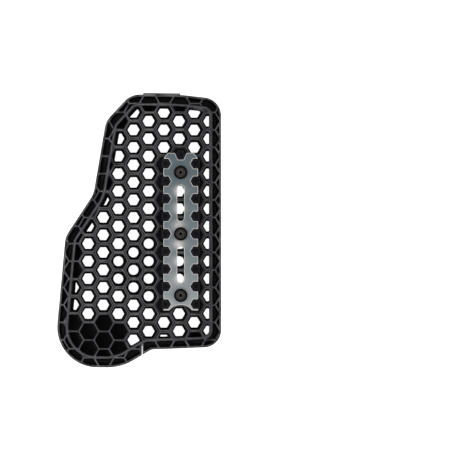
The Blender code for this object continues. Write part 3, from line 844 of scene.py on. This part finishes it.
def eased(loop, radius, corners):
    """The loop with each of the chosen corners rounded in FILLET_STEPS steps."""
    result = []
    for i, corner in enumerate(loop):
        if not corners[i]:
            result.append(corner)
            continue
        before = loop[i - 1] - corner
        after = loop[(i + 1) % len(loop)] - corner
        reach = radius * math.tan(abs(turn_at(loop, i)) / 2.0)
        start = corner + before.normalized() * min(reach, FILLET_SHARE * before.length)
        end = corner + after.normalized() * min(reach, FILLET_SHARE * after.length)
        for step in range(FILLET_STEPS + 1):
            share = step / FILLET_STEPS
            result.append(start.lerp(corner, share).lerp(corner.lerp(end, share), share))
    return result


def blended(loop, other, share):
    return [a.lerp(b, share) for a, b in zip(loop, other)]


def land_line(loop, line, heights):
    """The corners of a cell moved out onto the land by line, but hardly where the ridge stands.

    Where that would run over the ridge or far past a corner, the line is made narrower.
    """
    on_ridge = [abs(heights.crest.measure(p.x, p.y)[1] - RIDGE_WIDTH / 2.0) < RIDGE_NEAR for p in loop]
    inside = heights.crest.measure(loop[0].x, loop[0].y)[0]
    for share in LINE_SHARES:
        width = share * line
        reach = {}
        for i, corner in enumerate(loop):
            middle = corner.lerp(loop[i - 1], 0.5)
            beside_slit = abs(abs(middle.x - heights.slit.x) - SLIT_WIDTH / 2.0 - SLIT_WALL) < WELD
            narrow = (on_ridge[i] and on_ridge[i - 1]) or beside_slit
            reach[tuple(middle)] = RIDGE_LINE if narrow else width
        outer = inset(loop, lambda middle, normal: -reach[tuple(middle)])
        good = True
        for i, point in enumerate(outer):
            side, distance = heights.crest.measure(point.x, point.y)
            forward = (loop[i] - loop[i - 1]).dot(point - outer[i - 1]) > 0.0
            good = good and forward and side == inside and distance > RIDGE_CLEAR
            good = good and (point - loop[i]).length < LINE_MITRE * width
        if good:
            return outer
    return inset(loop, -RIDGE_LINE)


def rounded_rings(line, mouth, inner, reach, radius, heights):
    """From a line on the land to the mouth of a cell and a quarter round into it.

    The cell's wall comes in by reach.
    """
    rings = [raised(blended(line, mouth, share), heights.land) for share in (0.0, 0.5)]
    for inwards, drop in ROUND_STEPS:
        ring = blended(mouth, inner, inwards * radius / reach)
        rings.append(raised(ring, above(heights.land, -drop * radius)))
    return rings


# Painted highlight on the outer edge's rings, on the back, on the lit wall of the ridge on the right, and
# where that stands
EDGE_HIGHLIGHTS = [1.0, 0.9, 0.45, 0.12, 0.0, 0.3, 0.1, 0.4, 0.4]
BACK_HIGHLIGHT = 0.3
RIDGE_WALL_HIGHLIGHT = 0.9
RIGHT_RIDGE_X = 55.0 * MM

# Painted highlight on the land, and on the rings from there over the rounded mouth of a cell; the higher the
# power, the less a slanting rib counts as a level one
LAND_HIGHLIGHT = 0.13
LEVEL_POWER = 6.0
ROUND_HIGHLIGHTS = [LAND_HIGHLIGHT, 1.0, 0.4, 0.15, 0.03, 0.0, 0.0]
CLOSED_HIGHLIGHTS = [1.0, 0.7, 0.3, 0.08, 0.0, 0.0, 0.0]


def mouth_highlights(mouth):
    """The painted highlights of the first rings at a mouth.

    Between two cells that lie above one another the whole rib, which faces the top and foot lights, gets a
    painted highlight; on a slanting rib only its two edges do.
    """
    level = []
    for i in range(len(mouth)):
        along = (mouth[(i + 1) % len(mouth)] - mouth[i - 1]).normalized()
        level.append(LAND_HIGHLIGHT + (1.0 - LAND_HIGHLIGHT) * abs(along.x) ** LEVEL_POWER)
    return [level] + ROUND_HIGHLIGHTS[1:]


def cut_hole(skin, kind, centre, loop, plan, heights):
    """An open cell: a rounded edge, a leaning funnel to a lip, then a hole straight down."""
    lean = DRAW_LEAN * FUNNEL_DEPTH

    def from_ridge(point):
        return plan.inner_fence.measure(point.x, point.y)[1]

    def wall(middle, normal):
        if from_ridge(middle) < TINY_EDGE:
            return RIDGE_WALL + RIDGE_WALL_SWING * normal.dot(Vector(RIDGE_WALL_SIDE))
        return FUNNEL_WIDTH - lean * normal.x

    corners = sharp_corners(loop)
    if kind == "r" and len(loop) == 6:
        mouth = subdivided(eased(loop, MOUTH_FILLET, corners), ROUND_HOLE_STEP)
        growth = 1.0 + 2.0 * RIB_LINE / (CELL_PITCH - OPEN_RIB)
        line = [centre + (p - centre) * growth for p in mouth]
        lip = [centre + (p - centre).normalized() * ROUND_HOLE / 2.0 for p in mouth]
        lip = moved(lip, -lean)
    else:
        inner = narrowed(loop, wall)
        if inner is None:
            return None
        mouth = eased(loop, MOUTH_FILLET, corners)
        line = eased(land_line(loop, RIB_LINE, heights), MOUTH_FILLET, corners)
        lip = eased(inner, THROAT_FILLET, corners)
    middle = sum(lip, Vector((0.0, 0.0))) / len(lip)
    back_rim = [p + (p - middle).normalized() * BACK_ROUND for p in lip]
    rings = rounded_rings(line, mouth, lip, FUNNEL_WIDTH, RIB_ROUND, heights)
    for share, rise in LIP_SECTION:
        ring = blended(mouth, lip, share)
        rings.append(raised(ring, above(heights.bare, rise - FUNNEL_DEPTH)))
    rings.append(raised(lip, above(back_height, BACK_ROUND)))
    rings.append(raised(back_rim, back_height))
    # Walls of cells beside the ridge on the right get a painted highlight, standing in for light from the
    # left.
    beside = [p.x > RIGHT_RIDGE_X and from_ridge(p) < SMALL_EDGE for p in mouth]
    lit = [RIDGE_WALL_HIGHLIGHT if near else 0.0 for near in beside]
    highlights = mouth_highlights(mouth)
    highlights[2:] = [[max(wear, share) for share in lit] for wear in highlights[2:]]
    skin.sleeve(rings, highlights + [lit, 0.0, 0.0, BACK_HIGHLIGHT])
    return [p.xy for p in rings[0]], apart(back_rim)


def sink_pocket(skin, kind, loop, heights):
    """A closed cell: a rounded edge, a drafted wall and a dished floor."""
    floor = pocket_floor(loop)
    if floor is None:
        return None
    corners = sharp_corners(loop)
    mouth = eased(loop, POCKET_FILLET, corners)
    bottom = eased(floor, FLOOR_FILLET, corners)
    depth = BAND_POCKET_DEPTH if kind == "band" else POCKET_DEPTH
    middle = sum(bottom, Vector((0.0, 0.0))) / len(bottom)
    line = eased(land_line(loop, CLOSED_LINE, heights), POCKET_FILLET, corners)
    rings = rounded_rings(line, mouth, bottom, POCKET_DRAFT, CLOSED_ROUND, heights)
    highlights = list(CLOSED_HIGHLIGHTS)
    for share, height in WALL_SECTION:
        ring = blended(mouth, bottom, share)
        rings.append(raised(ring, above(heights.bare, -depth * height)))
        highlights.append(0.0)
    for share, dish in DISH_SECTION:
        ring = [p.lerp(middle, share) for p in bottom]
        rings.append(raised(ring, above(heights.bare, -depth - POCKET_DISH * dish)))
        highlights.append(0.0)
    skin.cap(skin.sleeve(rings, highlights))
    return [p.xy for p in rings[0]]


def raise_post(skin, centre, loop, heights):
    """A cell beside the plate: a groove inside its walls and a post as high as the plate."""
    side = round((centre.x - plate_column_x()) / COLUMN_PITCH)
    top_height = heights.seat + TOUCH_GAP + PLATE_THICKNESS
    top = post_loop(centre + plate_offset(), side)
    every = [True] * len(loop)
    mouth = eased(loop, POCKET_FILLET, every)
    groove = eased(inset(loop, POST_GROOVE), POCKET_FILLET, every)
    post = eased(top, POST_FILLET, every)
    shrunk = eased(inset(top, POST_ROUND), POST_FILLET / 2.0, every)
    rings = []
    for share, depth in GROOVE_SECTION:
        ring = blended(mouth, groove, share)
        rings.append(raised(ring, above(heights.land, -depth * POST_GROOVE)))
    rings += [
        raised(blended(groove, post, 0.15), above(heights.land, -0.9 * POST_GROOVE)),
        raised(post, heights.seat - TOUCH_GAP),
        raised(post, top_height - POST_ROUND),
        raised(blended(post, shrunk, 0.3), top_height - 0.3 * POST_ROUND),
        raised(shrunk, top_height),
    ]
    skin.cap(skin.sleeve(rings, POST_HIGHLIGHTS))
    return mouth


def sink_bore(skin, spot, heights):
    """A blind bore for a screw."""
    loop = circle(spot, BORE_RADIUS, 2 * BORE_SIDES)
    floor = screw_seat(heights.seat) - SCREW_LENGTH - BORE_RESERVE
    skin.cap(skin.sleeve([raised(loop, heights.land), raised(loop, floor)]))
    return loop


def shell_mesh(plan, heights):
    skin = Skin()
    land_holes = []
    back_holes = []
    for kind, centre, loop in plan_cells(plan):
        opened = kind in "or" and cut_hole(skin, kind, centre, loop, plan, heights)
        if opened:
            land_holes.append(opened[0])
            back_holes.append(opened[1])
        elif kind == "b" and len(loop) == 6:
            land_holes.append(raise_post(skin, centre, loop, heights))
        else:
            pocket = sink_pocket(skin, kind, loop, heights)
            if pocket:
                land_holes.append(pocket)
    for spot in plan.screws.values():
        land_holes.append(sink_bore(skin, spot, heights))
    edge = inset(plan.outline, EDGE_ROUND)
    skin.sheet(edge, land_holes, heights.land, plan.ridge_lines, LAND_HIGHLIGHT)
    feet = [
        ([Vector((x, share * HEIGHT)) for share in span], 0.0, BACK_HIGHLIGHT)
        for x, span in ((FOOT_LEFT, FOOT_SPAN_LEFT), (FOOT_RIGHT, FOOT_SPAN_RIGHT))
    ]
    under = inset(plan.outline, BACK_ROUND)
    skin.sheet(under, back_holes, back_height, feet, BACK_HIGHLIGHT)
    rings = []
    for inwards, drop in ROUND_STEPS:
        ring = blended(edge, plan.outline, inwards)
        rings.append(raised(ring, above(heights.land, -drop * EDGE_ROUND)))
    rings += [
        raised(plan.outline, above(heights.land, -1.1 * EDGE_ROUND)),
        raised(plan.outline, above(back_height, BACK_ROUND)),
        raised(blended(plan.outline, under, 0.35), above(back_height, 0.3 * BACK_ROUND)),
        raised(under, back_height),
    ]
    skin.sleeve(rings, EDGE_HIGHLIGHTS)
    return skin.mesh("honeycomb_shell_fine", SHELL_CREASE)


def plate_mesh(heights):
    outline, holes = plate_loops()
    bottom = heights.seat + TOUCH_GAP
    top = bottom + PLATE_THICKNESS
    skin = Skin()
    top_loops = []
    bottom_loops = []
    for i, edge in enumerate([outline] + holes):
        side = 1.0 if i == 0 else -1.0
        corners = sharp_corners(edge)
        loop = eased(edge, PLATE_FILLET, corners)
        inner = eased(inset(edge, side * PLATE_BEVEL), PLATE_FILLET, corners)
        lower = eased(inset(edge, side * PLATE_BEVEL / 2.0), PLATE_FILLET, corners)
        top_loops.append(inner)
        bottom_loops.append(lower)
        rings = [raised(blended(inner, loop, out), top - depth) for out, depth, _ in PLATE_SECTION]
        rings += [raised(loop, bottom + 0.8 * PLATE_BEVEL_DROP), raised(lower, bottom)]
        skin.sleeve(rings, [wear for _, _, wear in PLATE_SECTION] + PLATE_LOWER_HIGHLIGHTS)
    skin.sheet(top_loops[0], top_loops[1:], lambda x, y: top)
    skin.sheet(bottom_loops[0], bottom_loops[1:], lambda x, y: bottom)
    return skin.mesh("centre_plate_fine", PLATE_CREASE)


def screw_mesh():
    """A flanged button-head screw, its origin under the head on its own axis."""
    axis = Vector((0.0, 0.0))
    socket = hexagon_ring(SCREW_SOCKET, SCREW_TURNS)
    shank = SCREW_SHANK / 2.0
    rings = [
        raised(circle(axis, DRILL_TIP, SCREW_TURNS), SOCKET_FLOOR - DRILL_DEPTH),
        raised(circle(axis, DRILL_RADIUS, SCREW_TURNS), SOCKET_FLOOR),
    ]
    highlights = [0.0, 0.0]
    for share, height, wear in SOCKET_SECTION:
        rings.append(raised([p * share for p in socket], height))
        highlights.append(wear)
    for radius, height in HEAD_SECTION:
        rings.append(raised(circle(axis, radius * MM, SCREW_TURNS), height * MM))
        highlights.append(DOME_HIGHLIGHT if radius < DOME_RADIUS else 0.0)
    for radius, height in (
        (shank + SCREW_EASE / 2.0, 0.0),
        (shank, -SCREW_EASE / 2.0),
        (shank, SCREW_TIP - SCREW_LENGTH),
        (shank - SCREW_TIP, -SCREW_LENGTH),
    ):
        rings.append(raised(circle(axis, radius, SCREW_TURNS), height))
        highlights.append(SHANK_HIGHLIGHT)
    skin = Skin()
    skin.cap(skin.sleeve(rings, highlights))
    skin.cap(list(range(SCREW_TURNS)))
    return skin.mesh("plate_screw_fine", SCREW_CREASE)


NOISE_ROUGHNESS = 0.55


class Nodes:
    """A node tree, and the nodes that are added to it. Places are in metres."""

    def __init__(self, tree, space):
        self.nodes = tree.nodes
        self.links = tree.links
        self.place = self.node("TexCoord").outputs[space]

    def node(self, kind):
        return self.nodes.new("ShaderNode" + kind)

    def link(self, source, target):
        """Feeds a target from a socket, or gives it a number or a colour."""
        if isinstance(source, bpy.types.NodeSocket):
            self.links.new(source, target)
        else:
            target.default_value = (*source, 1.0) if isinstance(source, tuple) else source

    def noise(self, scale, detail, stretch=None):
        node = self.node("TexNoise")
        node.inputs["Scale"].default_value = scale
        node.inputs["Detail"].default_value = detail
        node.inputs["Roughness"].default_value = NOISE_ROUGHNESS
        source = self.place
        if stretch:
            mapping = self.node("Mapping")
            mapping.inputs["Scale"].default_value = stretch
            self.link(self.place, mapping.inputs["Vector"])
            source = mapping.outputs["Vector"]
        self.link(source, node.inputs["Vector"])
        return node.outputs["Fac"]

    def ramp(self, source, stops):
        """A colour ramp; stops are pairs of place and colour or grey."""
        node = self.node("ValToRGB")
        elements = node.color_ramp.elements
        while len(elements) < len(stops):
            elements.new(1.0)
        for element, (where, colour) in zip(elements, stops):
            element.position = where
            rgb = colour if isinstance(colour, tuple) else (colour,) * 3
            element.color = (*rgb, 1.0)
        self.link(source, node.inputs["Fac"])
        return node.outputs["Color"]

    def mixed(self, share, low, high):
        """Colours low and high, each a socket or a triple, mixed by a share socket."""
        node = self.node("Mix")
        node.data_type = "RGBA"
        for value, socket in ((share, 0), (low, 6), (high, 7)):
            self.link(value, node.inputs[socket])
        return node.outputs[2]

    def sum(self, first, second, operation="ADD"):
        node = self.node("Math")
        node.operation = operation
        self.link(first, node.inputs[0])
        self.link(second, node.inputs[1])
        return node.outputs[0]

    def attribute(self, name):
        node = self.node("Attribute")
        node.attribute_name = name
        return node.outputs["Fac"]

    def axis(self, letter):
        node = self.node("SeparateXYZ")
        self.link(self.place, node.inputs[0])
        return node.outputs[letter]

    def span(self, source, low, high, start=0.0, end=1.0):
        """The range from low to high laid over the one from start to end."""
        node = self.node("MapRange")
        for name, value in (("From Min", low), ("From Max", high), ("To Min", start), ("To Max", end)):
            node.inputs[name].default_value = value
        self.link(source, node.inputs["Value"])
        return node.outputs["Result"]


class Finish(Nodes):
    """A Principled material and the nodes that vary it."""

    def __init__(self, name):
        self.material = bpy.data.materials.new(name)
        self.material.use_nodes = True
        super().__init__(self.material.node_tree, "Object")
        self.shader = self.nodes["Principled BSDF"]

    def give(self, name, source):
        """Feeds one of the shader's own sockets."""
        self.link(source, self.shader.inputs[name])

    def glow(self, cell):
        """A painted glow: warm patches standing in for the light that comes through the open cells of the
        plate's column from behind.
        """
        across = self.sum(self.sum(self.axis("X"), -cell.x), 1.0 / GLOW_REACH, "MULTIPLY")
        up = self.sum(self.sum(self.axis("Y"), -cell.y), 2.0 * math.pi / CELL_PITCH, "MULTIPLY")
        wave = self.span(self.sum(up, 0.0, "COSINE"), -1.0, 1.0, GLOW_LEAST, 1.0)
        fall = self.sum(self.sum(across, across, "MULTIPLY"), 1.0)
        share = self.sum(wave, self.sum(fall, fall, "MULTIPLY"), "DIVIDE")
        high = self.span(self.axis("Y"), *GLOW_TOP)
        return self.sum(share, self.sum(high, self.span(self.axis("Y"), *GLOW_FOOT), "MULTIPLY"), "MULTIPLY")

    def bump(self, layers):
        """Bumps laid over one another; layers are pairs of height socket and depth in metres."""
        below = None
        for source, depth in layers:
            node = self.node("Bump")
            node.inputs["Strength"].default_value = 1.0
            node.inputs["Distance"].default_value = depth
            self.link(source, node.inputs["Height"])
            if below:
                self.link(below, node.inputs["Normal"])
            below = node.outputs["Normal"]
        self.give("Normal", below)


# Across the body, from one place to another, the painted highlight on edges and ribs fades from one share to
# another
HIGHLIGHT_FADE = (15.0 * MM, 55.0 * MM, 1.0, 0.72)


def shell_finish():
    """Black moulded elastomer: satin, with a fine grain, and painted highlights that make its edges and ribs
    paler.
    """
    finish = Finish("shell_black_moulded")
    cloud = finish.noise(34.0, 4.0)
    grain = finish.noise(2300.0, 2.0)
    ripple = finish.noise(260.0, 3.0, stretch=(1.0, 0.6, 1.0))
    base = finish.ramp(cloud, ((0.3, (0.0030, 0.0030, 0.0036)), (0.7, (0.0065, 0.0065, 0.0075))))
    speck = finish.ramp(grain, ((0.35, 0.7), (0.75, 1.3)))
    # Painted highlight: the mask, broken up by a ripple and faded across the body, mixes the black towards a
    # pale grey and raises the specular level; where it is low, in the hollows, that leaves painted shade.
    highlight_fade = finish.span(finish.axis("X"), *HIGHLIGHT_FADE)
    wear = finish.sum(finish.attribute("wear"), finish.span(ripple, 0.3, 0.7, 0.65, 1.1), "MULTIPLY")
    wear = finish.sum(wear, highlight_fade, "MULTIPLY")
    highlight_tone = finish.ramp(speck, ((0.0, (0.100, 0.101, 0.108)), (1.0, (0.170, 0.172, 0.182))))
    finish.give("Base Color", finish.mixed(wear, base, highlight_tone))
    rough = finish.span(cloud, 0.3, 0.7, 0.24, 0.34)
    finish.give("Roughness", finish.sum(rough, finish.sum(wear, 0.08, "MULTIPLY")))
    finish.give("IOR", 1.5)
    finish.give("Specular IOR Level", finish.span(wear, 0.0, 1.0, 0.03, 0.4))
    finish.bump(((ripple, 0.00012), (grain, 0.000012)))
    return finish.material


# Painted glow through the plate, standing in for light from behind: the cell it is counted from, its reach
# to each side, its least strength between two cells, and the places up the body over which it fades in
PLATE_GLOW_ROW = 6
GLOW_REACH = 6.0 * MM
GLOW_LEAST = 0.04
GLOW_TOP = (46.0 * MM, 40.0 * MM)
GLOW_FOOT = (-56.0 * MM, -50.0 * MM)


def plate_finish(plate_low, plate_high):
    """Milky blue-grey plate: warmer and paler towards its foot, with a painted glow over the open cells
    behind it and a painted highlight along its cut edges.
    """
    finish = Finish("plate_milky")
    length = plate_high.y - plate_low.y
    up = finish.span(finish.axis("Y"), plate_low.y, plate_low.y + length)
    cloud = finish.noise(55.0, 3.0)
    body = finish.ramp(up, (
        (0.0, (0.62, 0.66, 0.67)),
        (0.12, (0.48, 0.535, 0.555)),
        (0.35, (0.30, 0.37, 0.40)),
        (0.75, (0.225, 0.285, 0.315)),
        (1.0, (0.18, 0.235, 0.268)),
    ))
    light = finish.ramp(up, (
        (0.0, (0.68, 0.72, 0.73)),
        (0.35, (0.34, 0.415, 0.445)),
        (1.0, (0.215, 0.275, 0.305)),
    ))
    body = finish.mixed(finish.span(cloud, 0.3, 0.7), body, light)
    wear = finish.attribute("wear")
    # Painted glow over the open cells behind the plate, mixed into its base colour.
    cell = lattice_point(column_number(PLATE_COLUMN), PLATE_GLOW_ROW)
    glow = finish.glow(cell - Vector((DRAW_LEAN * FUNNEL_DEPTH, 0.0)))
    body = finish.mixed(glow, body, (0.97, 0.92, 0.89))
    # Painted highlight along the cut edges: mixed towards a pale white, and with less transmission.
    body = finish.mixed(wear, body, (1.0, 0.96, 0.93))
    finish.give("Base Color", body)
    scratch = finish.noise(900.0, 2.0, stretch=(1.0, 0.08, 1.0))
    finish.give("Roughness", finish.span(cloud, 0.3, 0.7, 0.34, 0.46))
    finish.give("Transmission Weight", finish.span(wear, 0.0, 1.0, 0.40, 0.0))
    finish.give("IOR", 1.46)
    finish.bump(((cloud, 0.00025), (scratch, 0.000012)))
    return finish.material


def screw_finish():
    """Black oxide steel, with painted highlights that make the dome and the rim paler; elsewhere a low
    specular level leaves the hollows and the flange black, as painted shade.
    """
    finish = Finish("screw_oxide")
    cloud = finish.noise(420.0, 3.0)
    fine = finish.noise(3000.0, 2.0)
    base = finish.ramp(cloud, ((0.3, (0.0040, 0.0039, 0.0038)), (0.7, (0.0085, 0.0080, 0.0075))))
    # Painted highlight: the mask mixes in a pale grey and raises the specular level on the dome and the
    # socket's rim; the low level elsewhere is painted shade.
    wear = finish.attribute("wear")
    finish.give("Base Color", finish.mixed(wear, base, (0.115, 0.110, 0.105)))
    finish.give("Roughness", finish.span(fine, 0.3, 0.7, 0.24, 0.36))
    finish.give("Specular IOR Level", finish.span(wear, 0.0, 1.0, 0.02, 0.6))
    finish.bump(((cloud, 0.00003), (fine, 0.000006)))
    return finish.material


def placed(name, data, location):
    """A new object in the scene."""
    thing = bpy.data.objects.new(name, data)
    thing.location = location
    bpy.context.scene.collection.objects.link(thing)
    return thing


def show(name, mesh, material, node, location=(0.0, 0.0, 0.0)):
    """A piece that stands for a CAD node and rides with it."""
    piece = placed(name, mesh, location)
    if not mesh.materials:
        mesh.materials.append(material)
    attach(piece, "root")
    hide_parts(node)


FLOOR_HALF = 6.0
FLOOR_HEIGHT = -0.4 * MM
FLOOR_SHADER = (
    ("Base Color", (0.9, 0.9, 0.9, 1.0)), ("Roughness", 0.9),
    ("Emission Color", (1.0, 1.0, 1.0, 1.0)), ("Emission Strength", 1.0),
)
WORLD_GLOW = 1.0
# Grey of the studio's walls from straight below, 0, over the horizon, 0.5, to straight above, 1
SKY = ((0.0, 0.0), (0.5, 0.0), (0.56, 0.6), (0.8, 1.0), (0.93, 0.3), (1.0, 0.1))
LIGHT_AIM = Vector((0.0, 0.0, 0.01))
# Name, place, width, height and power of each light
SOFT_BOXES = (
    ("box_left", (-1.3, -0.3, 0.8), 0.9, 0.9, 5.0),
    ("box_right", (1.3, 0.1, 0.8), 0.8, 0.8, 2.5),
    ("box_top", (0.1, 1.4, 0.9), 1.2, 0.6, 1.7),
    ("box_foot", (-0.1, -1.4, 0.8), 1.2, 0.6, 3.4),
)
CAMERA_SPOT = (0.07843, 0.00467, 3.013)
CAMERA_SENSOR = 36.0
CAMERA_LENS = 263.0


def studio():
    """White floor, soft boxes round a dim ceiling, and the camera straight above."""
    scene = bpy.context.scene
    mesh = bpy.data.meshes.new("floor")
    corners = rectangle_about(Vector((0.0, 0.0)), FLOOR_HALF, FLOOR_HALF)
    mesh.from_pydata(raised(corners, 0.0), [], [(0, 1, 2, 3)])
    floor = placed("floor", mesh, (0.0, 0.0, FLOOR_HEIGHT))
    white = bpy.data.materials.new("floor_white")
    white.use_nodes = True
    for name, value in FLOOR_SHADER:
        white.node_tree.nodes["Principled BSDF"].inputs[name].default_value = value
    mesh.materials.append(white)
    floor.visible_glossy = False
    floor.visible_diffuse = False

    scene.world = bpy.data.worlds.new("studio")
    scene.world.use_nodes = True
    sky = Nodes(scene.world.node_tree, "Generated")
    background = sky.nodes["Background"]
    sky.link(sky.ramp(sky.span(sky.axis("Z"), -1.0, 1.0), SKY), background.inputs["Color"])
    background.inputs["Strength"].default_value = WORLD_GLOW
    for name, spot, width, height, power in SOFT_BOXES:
        light = bpy.data.lights.new(name, "AREA")
        light.shape = "RECTANGLE"
        light.size = width
        light.size_y = height
        light.energy = power
        lamp = placed(name, light, spot)
        lamp.rotation_euler = (LIGHT_AIM - Vector(spot)).to_track_quat("-Z", "Y").to_euler()

    scene.view_settings.view_transform = "Standard"
    scene.view_settings.look = "None"
    camera = bpy.data.cameras.new("camera")
    camera.lens = CAMERA_LENS
    camera.sensor_width = CAMERA_SENSOR
    scene.camera = placed("camera", camera, CAMERA_SPOT)


def dress():
    plan = Plan()
    heights = Heights(plan)
    show("honeycomb_shell_fine", shell_mesh(plan, heights), shell_finish(), "honeycomb_shell")
    low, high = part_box("centre_plate")
    show("centre_plate_fine", plate_mesh(heights), plate_finish(low, high), "centre_plate")
    screw = screw_mesh()
    metal = screw_finish()
    for name, spot in plan.screws.items():
        location = (spot.x, spot.y, screw_seat(heights.seat))
        show(name + "_fine", screw, metal, name, location)
    studio()


dress()
